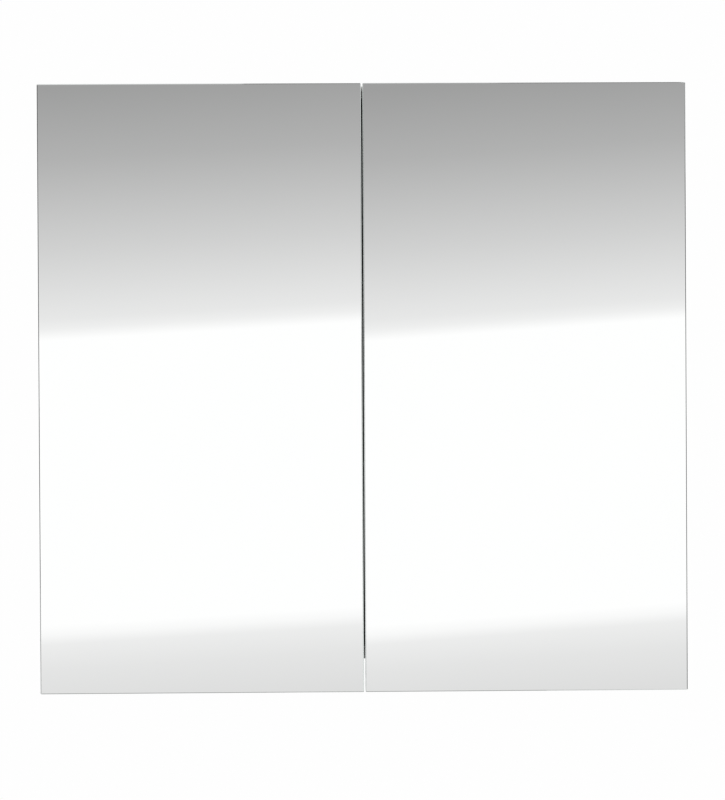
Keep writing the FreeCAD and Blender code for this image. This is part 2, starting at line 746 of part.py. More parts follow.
def arm_flange(low, high):
    """One side of the arm: from the nose round both pivots to the back end."""
    eye = eye_radius
    foot = size("arm_foot") - PANEL_FACE
    back = ARM_BACK
    nose = Vector(inner_arm.x + eye * 0.9, inner_arm.y - eye * 0.2, 0)
    chin = Vector(inner_arm.x - eye * 0.6, inner_arm.y - eye * 0.8, 0)
    web = size("arm_web_x") + size("arm_web_thick")
    outline = [
        chin, Vector(arm_pivot.x - eye, arm_pivot.y - eye * 0.4, 0),
        Vector(arm_pivot.x - eye, arm_pivot.y + eye * 1.5, 0),
        Vector(foot, size("arm_front") + size("arm_step"), 0),
        Vector(foot, back, 0), Vector(web, back, 0),
        Vector(web, size("arm_front"), 0), Vector(nose.x, arm_pivot.y, 0), nose, chin]
    face = Part.Face(Part.makePolygon(outline))
    face.translate(Vector(0, 0, low))
    solid = face.extrude(Vector(0, 0, high - low)).fuse(disc(inner_arm, eye, low, high))
    for pivot in (inner_arm, arm_pivot):
        solid = solid.cut(disc(pivot, size("link_pin"), low, high))
    return solid


RISER_TOP = f"({CUP_X} + arm_web_x - riser_play)"
SCREW_LINES = (f"({CUP_BACK} + arm_front + arm_screw_inset)", "(plate_line + arm_reach - arm_screw_inset)")


def arm():
    """The arm: two flanges and the web over the riser, with two screw holes."""
    low, high = size("arm_flange_low"), size("arm_flange_high")
    web = Part.makeBox(size("arm_web_thick"), ARM_BACK - size("arm_front"), 2 * high,
                       Vector(size("arm_web_x"), size("arm_front"), -high))
    solid = web
    for flange in both_layers(arm_flange, low, high):
        solid = solid.fuse(flange)
    for y in ARM_SCREWS:
        hole = Part.makeCylinder(size("arm_screw_radius") + size("screw_play"), size("arm_web_thick"),
                                 Vector(size("arm_web_x"), y, 0), Vector(1, 0, 0))
        solid = solid.cut(hole)
    return solid.removeSplitter()


left_arms = keep(hand_made("left_hinge_arms", [arm()]))


def arm_pins():
    """The outer link's pin through both flanges, and the inner link's two stubs, with riveted heads."""
    high = size("arm_flange_high")
    head = size("rivet_head")
    low = size("inner_link_low") - size("stub_out")
    pins = [disc(arm_pivot, size("link_pin"), -high, high)]
    for sign in (1, -1):
        cap = (high, high + head) if sign > 0 else (-high - head, -high)
        pins[0] = pins[0].fuse(disc(arm_pivot, size("rivet_radius"), *cap))
        span = (low, high) if sign > 0 else (-high, -low)
        pins.append(disc(inner_arm, size("link_pin"), *span).fuse(disc(inner_arm, size("rivet_radius"), *cap)))
    return pins


left_arm_pins = keep(hand_made("left_arm_pins", arm_pins()))


def arm_screw_set(level, z):
    """The fixing screw and the adjusting screw of an arm: head on the web, shank into the riser."""
    found = []
    for i, y in enumerate(SCREW_LINES):
        web = f"({CUP_X} + arm_web_x + arm_web_thick)"
        shank = hinge_rod(f"arm_screw_{level}_{i}", "arm_screw_radius",
                          "arm_web_thick + riser_play + arm_screw_in", f"{RISER_TOP} - arm_screw_in", y, z, "X")
        head = hinge_rod(f"arm_screw_head_{level}_{i}", "arm_screw_head", "head_thick", web, y, z, "X")
        slot = hinge_block(f"arm_screw_slot_{level}_{i}", "head_thick / 2", "2 * arm_screw_head", "head_thick / 2",
                           f"{web} + head_thick / 2", f"{y} - arm_screw_head", f"{z} - head_thick / 4")
        found.append(cut(f"arm_screw_all_{level}_{i}", fuse(f"arm_screw_solid_{level}_{i}", [shank, head]), [slot]))
    return found


def arm_screw_bores(level, z):
    """Threaded holes for the arm's screws, in the riser."""
    return [hinge_rod(f"arm_screw_bore_{level}_{i}", "arm_screw_radius + screw_play", "arm_screw_in + screw_play",
                      f"{RISER_TOP} - arm_screw_in - screw_play", y, z, "X")
            for i, y in enumerate(SCREW_LINES)]


def plates(level, z):
    """A mounting plate: wing plate on the side panel and the riser that carries the arm."""
    wing = hinge_block(f"plate_wing_{level}", "plate_thick", "plate_wide", "2 * plate_reach", "0",
                       "plate_line - plate_wide / 2", f"{z} - plate_reach")
    riser = hinge_block(f"plate_riser_{level}", RISER_TOP, "riser_long", "2 * riser_half", "0",
                        "plate_line - riser_long / 2", f"{z} - riser_half")
    return [fuse(f"plate_{level}", [wing, riser])]


def plate_screws(level, z):
    """The two screws of a mounting plate."""
    found = []
    for i, shank in enumerate(plate_screw_rods("plate_screw", "0", level, z)):
        step = 2 * i - 1
        head = hinge_rod(f"plate_screw_head_{level}_{i}", "plate_screw_head", "head_thick", "plate_thick",
                         "plate_line", f"{z} + ({step}) * plate_screw_pitch / 2", "X")
        found.append(fuse(f"plate_screw_all_{level}_{i}", [shank, head]))
    return found


arm_screw_tools = group("arm_screw_tools", per_level(arm_screw_bores))
left_plates = keep(cut("left_hinge_plates", group("left_plate_pair", per_level(plates)),
                       [plate_screw_tools, arm_screw_tools]))
left_plate_screws = keep(group("left_plate_screws", per_level(plate_screws)))
left_arm_screws = keep(group("left_arm_screws", per_level(arm_screw_set)))


# ---- the left door: panel, tape, mirror and buffers ----

def cup_pockets(level, z):
    """The drilled pocket for a cup."""
    return [hinge_rod(f"cup_pocket_{level}", "cup_radius + cup_play", "cup_deep + cup_play", CUP_X,
                      f"{CUP_BACK} - cup_deep - cup_play", z, "Y")]


door_board = slab("left_door_board", "XZ_Plane", DOOR_WIDE, DOOR_TALL, "door_thick", DOOR_LEFT,
                  f"-{DOOR_BACK}", DOOR_BOTTOM)
left_door_panel = keep(cut("left_door_panel", door_board,
                           [group("cup_pocket_pair", per_level(cup_pockets)), cup_screw_tools]))

left_mirror = slab("left_mirror", "XZ_Plane", DOOR_WIDE, DOOR_TALL, "glass_thick", DOOR_LEFT,
                   f"-{GLASS_BACK}", DOOR_BOTTOM)
doc.recompute()
chamfer(left_mirror, "left_mirror_arris", "glass_arris",
        lambda edge: all(abs(vertex.Y + size("glass_thick")) < 0.01 for vertex in edge.Vertexes))
keep(left_mirror)

tape_step = "((" + DOOR_WIDE + " - 2 * tape_inset - tape_wide) / (tape_count - 1))"
left_tape = keep(group("left_mirror_tape", [
    block(f"tape_{i}", "tape_wide", "tape_thick", f"{DOOR_TALL} - 2 * tape_inset",
          f"{DOOR_LEFT} + tape_inset + {i} * {tape_step}", f"-{GLASS_BACK}", f"{DOOR_BOTTOM} + tape_inset")
    for i in range(int(size("tape_count")))]))

left_buffers = keep(group("left_door_buffers", [
    rod(f"buffer_{end}", "buffer_radius", "door_standoff - buffer_clear", "-door_gap / 2 - buffer_inset",
        f"-{DOOR_BACK}", f"{up} * ({TOP} - board_thick / 2)", "Y") for end, up in ENDS]))


# ---- the right side mirrors the left ----

for source in (left_cups, left_cup_screws, left_cup_pins, left_outer_links, left_inner_links, left_arms,
               left_arm_pins, left_plates, left_plate_screws, left_arm_screws, left_door_panel, left_mirror,
               left_tape, left_buffers):
    keep(mirrored(source.Name.replace("left_", "right_", 1), source))


# ---- check and write ----

doc.recompute()
for obj in doc.Objects:
    if "Invalid" in obj.State or "Error" in obj.State:
        raise RuntimeError(f"{obj.Name} failed: {obj.State}")

os.makedirs("parts", exist_ok=True)
for obj in nodes:
    shape = obj.Shape
    if shape.isNull() or not shape.isValid() or not shape.Solids:
        raise RuntimeError(f"{obj.Label} has no valid shape")
    shape.exportStep(f"parts/{obj.Label}.step")
    box = shape.BoundBox
    print(f"{obj.Label}: {len(shape.Solids)} solids, {shape.Volume / 1000:.1f} cm3, "
          f"X {box.XMin:.1f}..{box.XMax:.1f} Y {box.YMin:.1f}..{box.YMax:.1f} Z {box.ZMin:.1f}..{box.ZMax:.1f}")
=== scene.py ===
import logging
import math
from dataclasses import dataclass
from enum import Enum
from typing import Callable, Iterable, Sequence

import bmesh
import bpy
from mathutils import Matrix, Vector


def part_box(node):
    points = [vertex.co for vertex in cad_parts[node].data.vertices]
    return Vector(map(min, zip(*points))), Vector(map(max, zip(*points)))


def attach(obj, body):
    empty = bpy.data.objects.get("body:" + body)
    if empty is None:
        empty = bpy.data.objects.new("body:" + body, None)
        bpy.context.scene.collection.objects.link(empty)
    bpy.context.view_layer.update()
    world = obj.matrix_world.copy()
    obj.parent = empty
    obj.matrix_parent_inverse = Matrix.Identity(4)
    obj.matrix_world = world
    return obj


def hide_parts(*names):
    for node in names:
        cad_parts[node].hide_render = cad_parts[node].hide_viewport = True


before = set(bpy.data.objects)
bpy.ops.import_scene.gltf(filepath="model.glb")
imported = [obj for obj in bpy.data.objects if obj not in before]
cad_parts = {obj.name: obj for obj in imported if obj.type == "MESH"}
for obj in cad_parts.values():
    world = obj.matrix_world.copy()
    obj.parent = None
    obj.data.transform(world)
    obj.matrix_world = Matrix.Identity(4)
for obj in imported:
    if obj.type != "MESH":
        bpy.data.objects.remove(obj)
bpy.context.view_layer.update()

# Looks of a wall-hung cabinet with two frameless mirror doors, around its CAD frame. Lengths are in metres.

LOG = logging.getLogger("cabinet")
MM = 0.001
HAIR = 1e-6
WELD = 1e-7

Point = tuple[float, float, float]
Colour = tuple[float, float, float]


class Hand(Enum):
    """Which half of the cabinet a piece belongs to; the value is the sign of its X."""

    LEFT = -1
    RIGHT = 1

    @property
    def word(self) -> str:
        """The hand as the CAD nodes spell it."""
        return self.name.lower()


class Axis(Enum):
    """A row axis, as the turn that takes +Z onto it."""

    X = Matrix.Rotation(math.radians(90), 4, "Y")
    Y = Matrix.Rotation(math.radians(-90), 4, "X")
    Z = Matrix.Identity(4)


class Joint(Enum):
    """What a tool does to the mesh it meets."""

    JOIN = "UNION"
    CUT = "DIFFERENCE"


# ---- finishes ----

class NodeSheet:
    """A material's node tree, with short calls to add and join nodes."""

    def __init__(self, name: str) -> None:
        """Start an empty material.

        Args:
            name: the material's name.
        """
        self.material = bpy.data.materials.new(name)
        self.material.use_nodes = True
        self.tree = self.material.node_tree
        self.tree.nodes.clear()
        self.output = self.tree.nodes.new("ShaderNodeOutputMaterial")

    def add(self, kind: str, **settings: object) -> bpy.types.Node:
        """Add a node.

        Args:
            kind: the node type after "ShaderNode".
            settings: properties of the node; those that name an input socket are set on it.

        Returns:
            The node.
        """
        node = self.tree.nodes.new(f"ShaderNode{kind}")
        for key, value in settings.items():
            if hasattr(node, key):
                setattr(node, key, value)
            else:
                node.inputs[key.replace("_", " ")].default_value = value
        return node

    def join(self, source: bpy.types.NodeSocket, target: bpy.types.NodeSocket) -> None:
        """Link one socket to another."""
        self.tree.links.new(source, target)

    def place(self, scale: Point = (1.0, 1.0, 1.0)) -> bpy.types.NodeSocket:
        """Object coordinates in metres, stretched.

        Args:
            scale: factor along each axis.

        Returns:
            The vector socket.
        """
        spot = self.add("TexCoord")
        mapping = self.add("Mapping")
        mapping.inputs["Scale"].default_value = scale
        self.join(spot.outputs["Object"], mapping.inputs["Vector"])
        return mapping.outputs["Vector"]

    def noise(self, scale: float, detail: float = 3.0, stretch: Point = (1.0, 1.0, 1.0)) -> bpy.types.NodeSocket:
        """A noise pattern fixed to the piece.

        Args:
            scale: waves per metre.
            detail: octaves.
            stretch: factor along each axis.

        Returns:
            The pattern's value socket.
        """
        node = self.add("TexNoise", Scale=scale, Detail=detail, Roughness=0.55)
        self.join(self.place(stretch), node.inputs["Vector"])
        return node.outputs["Fac"]

    def ranged(self, value: bpy.types.NodeSocket, low: float, high: float) -> bpy.types.NodeSocket:
        """Squeeze a 0 to 1 pattern's middle into a range.

        Args:
            value: the pattern.
            low: result for its dark parts.
            high: result for its light parts.

        Returns:
            The result socket.
        """
        node = self.add("MapRange")
        for key, number in (("From Min", 0.3), ("From Max", 0.7), ("To Min", low), ("To Max", high)):
            node.inputs[key].default_value = number
        self.join(value, node.inputs["Value"])
        return node.outputs["Result"]

    def blend(self, value: bpy.types.NodeSocket, first: Colour, second: Colour) -> bpy.types.NodeSocket:
        """Mix two colours by a pattern.

        Args:
            value: 0 gives the first colour and 1 the second.
            first: linear RGB.
            second: linear RGB.

        Returns:
            The colour socket.
        """
        node = self.add("Mix", data_type="RGBA")
        colours = [s for s in node.inputs if s.type == "RGBA"]
        colours[0].default_value = (*first, 1)
        colours[1].default_value = (*second, 1)
        self.join(value, node.inputs["Factor"])
        return next(s for s in node.outputs if s.type == "RGBA")

    def bump(self, value: bpy.types.NodeSocket, height: float, strength: float = 1.0) -> bpy.types.NodeSocket:
        """A normal bent by a height pattern.

        Args:
            value: the pattern.
            height: its depth in metres.
            strength: how far the normal follows it.

        Returns:
            The normal socket.
        """
        node = self.add("Bump", Strength=strength, Distance=height)
        self.join(value, node.inputs["Height"])
        return node.outputs["Normal"]

    def principled(self, **values: object) -> bpy.types.Node:
        """Add the surface shader with values on its own sockets, and join it to the output.

        Args:
            values: socket names with underscores for spaces.

        Returns:
            The shader node.
        """
        shader = self.add("BsdfPrincipled")
        for key, value in values.items():
            shader.inputs[key.replace("_", " ")].default_value = value
        self.join(shader.outputs["BSDF"], self.output.inputs["Surface"])
        return shader


@dataclass(frozen=True)
class Melamine:
    """White melamine faced board: pearl embossing, faint mottling, and the joint line of its edge band."""

    name: str
    colour: Colour = (0.80, 0.80, 0.785)
    shade: Colour = (0.765, 0.765, 0.75)
    pearl: float = 1400.0
    pearl_depth: float = 0.000012
    rough_low: float = 0.30
    rough_high: float = 0.42

    def material(self) -> bpy.types.Material:
        """Build the material.

        Returns:
            The material.
        """
        sheet = NodeSheet(self.name)
        shader = sheet.principled(Roughness=0.35, IOR=1.5, Coat_Weight=0.08, Coat_Roughness=0.25)
        mottling = sheet.ranged(sheet.noise(9.0, 4.0), 0.0, 1.0)
        sheet.join(sheet.blend(mottling, self.colour, self.shade), shader.inputs["Base Color"])
        rough = sheet.ranged(sheet.noise(38.0, 3.0), self.rough_low, self.rough_high)
        sheet.join(rough, shader.inputs["Roughness"])
        sheet.join(sheet.bump(sheet.noise(self.pearl, 2.0), self.pearl_depth, 0.35), shader.inputs["Normal"])
        return sheet.material


@dataclass(frozen=True)
class EdgeBand:
    """Plastic edge band: a touch glossier and whiter than the board, with a faint cloudiness."""

    name: str
    colour: Colour = (0.84, 0.84, 0.83)
    cloud: Colour = (0.815, 0.815, 0.80)

    def material(self) -> bpy.types.Material:
        """Build the material.

        Returns:
            The material.
        """
        sheet = NodeSheet(self.name)
        shader = sheet.principled(Roughness=0.28, IOR=1.5)
        clouds = sheet.ranged(sheet.noise(26.0, 3.0), 0.0, 1.0)
        sheet.join(sheet.blend(clouds, self.colour, self.cloud), shader.inputs["Base Color"])
        sheet.join(sheet.ranged(sheet.noise(60.0), 0.24, 0.36), shader.inputs["Roughness"])
        sheet.join(sheet.bump(sheet.noise(900.0, 2.0), 0.00002, 0.2), shader.inputs["Normal"])
        return sheet.material


@dataclass(frozen=True)
class Hardboard:
    """Thin fibre board: white lacquer on the face, raw brown fibres on the back."""

    name: str
    back_plane: float
    white: Colour = (0.79, 0.79, 0.775)
    brown: Colour = (0.33, 0.20, 0.105)
    fibre: Colour = (0.46, 0.30, 0.17)

    def material(self) -> bpy.types.Material:
        """Build the material.

        Returns:
            The material.
        """
        sheet = NodeSheet(self.name)
        shader = sheet.principled(IOR=1.48)
        fibres = sheet.ranged(sheet.noise(420.0, 6.0, (1.0, 1.0, 0.35)), 0.0, 1.0)
        raw = sheet.blend(fibres, self.brown, self.fibre)
        spot = sheet.add("SeparateXYZ")
        sheet.join(sheet.place(), spot.inputs["Vector"])
        behind = sheet.add("Math", operation="GREATER_THAN")
        behind.inputs[1].default_value = self.back_plane
        sheet.join(spot.outputs["Y"], behind.inputs[0])
        mix = sheet.add("Mix", data_type="RGBA")
        colours = [s for s in mix.inputs if s.type == "RGBA"]
        colours[0].default_value = (*self.white, 1)
        sheet.join(raw, colours[1])
        sheet.join(behind.outputs[0], mix.inputs["Factor"])
        sheet.join(next(s for s in mix.outputs if s.type == "RGBA"), shader.inputs["Base Color"])
        rough = sheet.add("MapRange")
        rough.inputs["To Min"].default_value = 0.38
        rough.inputs["To Max"].default_value = 0.8
        sheet.join(behind.outputs[0], rough.inputs["Value"])
        sheet.join(rough.outputs["Result"], shader.inputs["Roughness"])
        sheet.join(sheet.bump(fibres, 0.00006, 0.3), shader.inputs["Normal"])
        return sheet.material


@dataclass(frozen=True)
class Silvering:
    """Silvered float glass seen from the front: a clean mirror with a very faint film of dust."""

    name: str
    colour: Colour = (0.957, 0.962, 0.958)
    film_colour: Colour = (0.952, 0.958, 0.955)
    rough_low: float = 0.0
    rough_high: float = 0.012

    def material(self) -> bpy.types.Material:
        """Build the material.

        Returns:
            The material.
        """
        sheet = NodeSheet(self.name)
        shader = sheet.principled(Metallic=1.0, IOR=1.52)
        film = sheet.noise(6.0, 5.0, (1.0, 1.0, 0.6))
        tint = sheet.blend(sheet.ranged(film, 0.0, 1.0), self.colour, self.film_colour)
        sheet.join(tint, shader.inputs["Base Color"])
        sheet.join(sheet.ranged(film, self.rough_low, self.rough_high), shader.inputs["Roughness"])
        return sheet.material


@dataclass(frozen=True)
class PolishedEdge:
    """Ground and polished glass edge: dark sea green in the thickness of the pane, with grinding lines."""

    name: str
    colour: Colour = (0.10, 0.155, 0.135)
    light: Colour = (0.17, 0.25, 0.22)
    rough: float = 0.12

    def material(self) -> bpy.types.Material:
        """Build the material.

        Returns:
            The material.
        """
        sheet = NodeSheet(self.name)
        shader = sheet.principled(Roughness=self.rough, IOR=1.52, Specular_IOR_Level=0.6)
        lines = sheet.ranged(sheet.noise(1.0, 3.0, (60.0, 2600.0, 60.0)), 0.0, 1.0)
        sheet.join(sheet.blend(lines, self.colour, self.light), shader.inputs["Base Color"])
        sheet.join(sheet.bump(lines, 0.00001, 0.2), shader.inputs["Normal"])
        return sheet.material


@dataclass(frozen=True)
class BackPaint:
    """Grey protective paint over the silver, rolled on, slightly uneven."""

    name: str
    colour: Colour = (0.22, 0.235, 0.24)
    thin: Colour = (0.27, 0.285, 0.29)

    def material(self) -> bpy.types.Material:
        """Build the material.

        Returns:
            The material.
        """
        sheet = NodeSheet(self.name)
        shader = sheet.principled(Roughness=0.55)
        rolled = sheet.ranged(sheet.noise(55.0, 5.0), 0.0, 1.0)
        sheet.join(sheet.blend(rolled, self.colour, self.thin), shader.inputs["Base Color"])
        sheet.join(sheet.bump(rolled, 0.00005, 0.3), shader.inputs["Normal"])
        return sheet.material


@dataclass(frozen=True)
class ClearGlass:
    """Clear tempered shelf glass."""

    name: str
    tint: Colour = (0.93, 0.975, 0.96)
    film_tint: Colour = (0.915, 0.965, 0.95)

    def material(self) -> bpy.types.Material:
        """Build the material.

        Returns:
            The material.
        """
        sheet = NodeSheet(self.name)
        shader = sheet.principled(IOR=1.52, Transmission_Weight=1.0)
        film = sheet.noise(14.0, 4.0)
        tint = sheet.blend(sheet.ranged(film, 0.0, 1.0), self.tint, self.film_tint)
        sheet.join(tint, shader.inputs["Base Color"])
        sheet.join(sheet.ranged(film, 0.0, 0.03), shader.inputs["Roughness"])
        return sheet.material


@dataclass(frozen=True)
class GreenEdge:
    """The polished edge of a clear shelf: bottle green, still letting light through."""

    name: str
    tint: Colour = (0.27, 0.55, 0.45)
    deep: Colour = (0.19, 0.45, 0.36)

    def material(self) -> bpy.types.Material:
        """Build the material.

        Returns:
            The material.
        """
        sheet = NodeSheet(self.name)
        shader = sheet.principled(Roughness=0.08, IOR=1.52, Transmission_Weight=0.45)
        bands = sheet.ranged(sheet.noise(1.0, 3.0, (5.0, 5.0, 900.0)), 0.0, 1.0)
        sheet.join(sheet.blend(bands, self.tint, self.deep), shader.inputs["Base Color"])
        return sheet.material


@dataclass(frozen=True)
class Plated:
    """Plated steel or zinc: a metal with faint marks and uneven gloss."""

    name: str
    colour: Colour = (0.70, 0.69, 0.67)
    worn: Colour = (0.645, 0.635, 0.615)
    rough_low: float = 0.17
    rough_high: float = 0.27
    grain: Point = (260.0, 90.0, 420.0)
    relief: float = 0.05

    def material(self) -> bpy.types.Material:
        """Build the material.

        Returns:
            The material.
        """
        sheet = NodeSheet(self.name)
        shader = sheet.principled(Metallic=1.0)
        clouds = sheet.ranged(sheet.noise(70.0, 3.0), 0.0, 1.0)
        sheet.join(sheet.blend(clouds, self.colour, self.worn), shader.inputs["Base Color"])
        marks = sheet.noise(1.0, 3.0, self.grain)
        sheet.join(sheet.ranged(marks, self.rough_low, self.rough_high), shader.inputs["Roughness"])
        sheet.join(sheet.bump(marks, 0.00001, self.relief), shader.inputs["Normal"])
        return sheet.material


@dataclass(frozen=True)
class Beech:
    """Turned beech: pale brown with short dark flecks along the grain."""

    name: str
    colour: Colour = (0.52, 0.34, 0.185)
    fleck: Colour = (0.36, 0.21, 0.10)

    def material(self) -> bpy.types.Material:
        """Build the material.

        Returns:
            The material.
        """
        sheet = NodeSheet(self.name)
        shader = sheet.principled(Roughness=0.6)
        grain = sheet.ranged(sheet.noise(1.0, 5.0, (60.0, 900.0, 900.0)), 0.0, 1.0)
        sheet.join(sheet.blend(grain, self.colour, self.fleck), shader.inputs["Base Color"])
        sheet.join(sheet.bump(grain, 0.0001, 0.3), shader.inputs["Normal"])
        return sheet.material


@dataclass(frozen=True)
class Moulded:
    """Moulded plastic, foam or soft vinyl, with a fine spark-eroded texture."""

    name: str
    colour: Colour = (0.69, 0.69, 0.67)
    shade: Colour = (0.65, 0.65, 0.63)
    rough: float = 0.4
    clear: float = 0.0
    texture: float = 2600.0
    depth: float = 0.00002

    def material(self) -> bpy.types.Material:
        """Build the material.

        Returns:
            The material.
        """
        sheet = NodeSheet(self.name)
        shader = sheet.principled(Roughness=self.rough, IOR=1.46, Transmission_Weight=self.clear)
        grit = sheet.noise(self.texture, 2.0)
        sheet.join(sheet.blend(sheet.ranged(grit, 0.0, 1.0), self.colour, self.shade), shader.inputs["Base Color"])
        sheet.join(sheet.bump(grit, self.depth, 0.4), shader.inputs["Normal"])
        return sheet.material


class Finishes:
    """Every finish of the cabinet, built once."""

    def __init__(self) -> None:
        """Build the materials."""
        back_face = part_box("back_panel")[1][1]
        self.melamine = Melamine("white_melamine").material()
        self.band = EdgeBand("white_edge_band").material()
        self.hardboard = Hardboard("faced_hardboard", back_plane=back_face - 0.3 * MM).material()
        self.silver = Silvering("silvered_glass").material()
        self.edge = PolishedEdge("polished_mirror_edge").material()
        self.arris = Plated("polished_arris", (0.93, 0.96, 0.945), (0.90, 0.93, 0.915), 0.07, 0.10,
                            (90.0, 90.0, 90.0)).material()
        self.back_paint = BackPaint("mirror_back_paint").material()
        self.glass = ClearGlass("clear_shelf_glass").material()
        self.green = GreenEdge("green_shelf_edge").material()
        self.nickel = Plated("nickel_plate").material()
        self.zinc = Plated("zinc_plate", (0.62, 0.64, 0.665), (0.56, 0.58, 0.605), 0.22, 0.34).material()
        self.cast = Plated("cast_zinc", (0.60, 0.595, 0.585), (0.54, 0.535, 0.525), 0.32, 0.44,
                           (500.0, 500.0, 500.0), 0.1).material()
        self.beech = Beech("beech").material()
        self.cap = Moulded("white_cap_plastic").material()
        self.foam = Moulded("white_foam", (0.70, 0.70, 0.69), (0.60, 0.60, 0.59), 0.85, 0.0, 1500.0, 0.0002).material()
        self.soft = Moulded("clear_vinyl", (0.88, 0.90, 0.90), (0.84, 0.86, 0.86), 0.22, 0.75, 900.0).material()


# ---- mesh making ----

def block(low: Sequence[float], high: Sequence[float]) -> bmesh.types.BMesh:
    """A box between two corners.

    Args:
        low: lowest corner.
        high: highest corner.

    Returns:
        The mesh.
    """
    bm = bmesh.new()
    bmesh.ops.create_cube(bm, size=1.0)
    low, high = Vector(low), Vector(high)
    bmesh.ops.scale(bm, vec=high - low, verts=bm.verts)
    bmesh.ops.translate(bm, vec=(low + high) / 2, verts=bm.verts)
    return bm


def rod(radius: float, start: Sequence[float], length: float, axis: Axis = Axis.Z,
        sides: int = 48) -> bmesh.types.BMesh:
    """A cylinder from a point along an axis.

    Args:
        radius: its radius.
        start: centre of its first end.
        length: its length.
        axis: the axis it runs along.
        sides: facets round it.

    Returns:
        The mesh.
    """
    bm = bmesh.new()
    bmesh.ops.create_cone(bm, cap_ends=True, segments=sides, radius1=radius, radius2=radius, depth=length)
    bmesh.ops.translate(bm, vec=(0, 0, length / 2), verts=bm.verts)
    bmesh.ops.transform(bm, matrix=Matrix.Translation(start) @ axis.value, verts=bm.verts)
    return bm


def lathe(profile: Sequence[tuple[float, float]], start: Sequence[float], axis: Axis = Axis.Z,
          steps: int = 64) -> bmesh.types.BMesh:
    """A turned shape: a profile of (radius, height) spun about an axis.

    Args:
        profile: points from the axis at one end to the axis at the other, or a closed ring's points.
        start: the profile's zero height on the axis.
        axis: the axis.
        steps: facets round it.

    Returns:
        The mesh, closed.
    """
    bm = bmesh.new()
    verts = [bm.verts.new((radius, 0.0, height)) for radius, height in profile]
    edges = [bm.edges.new(pair) for pair in zip(verts, verts[1:])]
    if min(profile[0][0], profile[-1][0]) > 0:
        edges.append(bm.edges.new((verts[-1], verts[0])))
    bmesh.ops.spin(bm, geom=verts + edges, cent=(0, 0, 0), axis=(0, 0, 1), angle=math.tau, steps=steps,
                   use_merge=True, use_duplicate=False)
    bmesh.ops.remove_doubles(bm, verts=bm.verts, dist=WELD)
    bmesh.ops.recalc_face_normals(bm, faces=bm.faces)
    bmesh.ops.transform(bm, matrix=Matrix.Translation(start) @ axis.value, verts=bm.verts)
    return bm


def soften(bm: bmesh.types.BMesh, width: float, segments: int = 3,
           pick: Callable[[bmesh.types.BMEdge], bool] | None = None, angle: float = 40.0) -> bmesh.types.BMesh:
    """Round a mesh's sharp edges.

    Args:
        bm: the mesh.
        width: the rounding.
        segments: facets across it.
        pick: which sharp edges to round, all of them by default.
        angle: the smallest angle that counts as sharp, in degrees.

    Returns:
        The same mesh.
    """
    sharp = [e for e in bm.edges if len(e.link_faces) == 2 and e.calc_face_angle() > math.radians(angle)]
    if pick:
        sharp = [e for e in sharp if pick(e)]
    bmesh.ops.bevel(bm, geom=sharp, offset=width, offset_type="OFFSET", segments=segments, profile=0.5,
                    affect="EDGES", material=-1, clamp_overlap=True)
    return bm


def merge(meshes: Iterable[bmesh.types.BMesh]) -> bmesh.types.BMesh:
    """Put several meshes into one.

    Args:
        meshes: the meshes, which are freed.

    Returns:
        One mesh with all their shells.
    """
    whole = bmesh.new()
    for bm in meshes:
        data = bpy.data.meshes.new("shell")
        bm.to_mesh(data)
        bm.free()
        whole.from_mesh(data)
        bpy.data.meshes.remove(data)
    return whole


def combine(base: bmesh.types.BMesh, tools: Iterable[bmesh.types.BMesh], how: Joint) -> bmesh.types.BMesh:
    """Join tools to a mesh or cut them from it.

    Args:
        base: the mesh.
        tools: the meshes to apply, each a closed shell.
        how: whether they join it or cut it.

    Returns:
        The result, as a new mesh.
    """
    def temporary(bm: bmesh.types.BMesh) -> bpy.types.Object:
        """A mesh as a short-lived object.

        Args:
            bm: the mesh, which is freed.

        Returns:
            The object.
        """
        data = bpy.data.meshes.new("temporary")
        bm.to_mesh(data)
        bm.free()
        obj = bpy.data.objects.new("temporary", data)
        bpy.context.scene.collection.objects.link(obj)
        return obj

    target = temporary(base)
    helpers = [temporary(tool) for tool in tools]
    for helper in helpers:
        step = target.modifiers.new("step", "BOOLEAN")
        step.operation = how.value
        step.solver = "EXACT"
        step.object = helper
    shape = target.evaluated_get(bpy.context.evaluated_depsgraph_get()).to_mesh()
    bm = bmesh.new()
    bm.from_mesh(shape)
    for obj in [target, *helpers]:
        data = obj.data
        bpy.data.objects.remove(obj)
        bpy.data.meshes.remove(data)
    bmesh.ops.remove_doubles(bm, verts=bm.verts, dist=WELD)
    return bm


def flip_x(bm: bmesh.types.BMesh) -> bmesh.types.BMesh:
    """The mirror image across X = 0, with its faces outwards.

    Args:
        bm: the mesh.

    Returns:
        The same mesh.
    """
    bmesh.ops.scale(bm, vec=(-1, 1, 1), verts=bm.verts)
    bmesh.ops.reverse_faces(bm, faces=bm.faces)
    return bm


def stand(bm: bmesh.types.BMesh, name: str, materials: Sequence[bpy.types.Material]) -> bpy.types.Object:
    """Put a mesh into the scene.

    Args:
        bm: the mesh, in place; it is freed.
        name: the object's name.
        materials: its materials, by face index.

    Returns:
        The object, at the origin.
    """
    data = bpy.data.meshes.new(name)
    bm.to_mesh(data)
    bm.free()
    obj = bpy.data.objects.new(name, data)
    bpy.context.scene.collection.objects.link(obj)
    for material in materials:
        data.materials.append(material)
    return obj


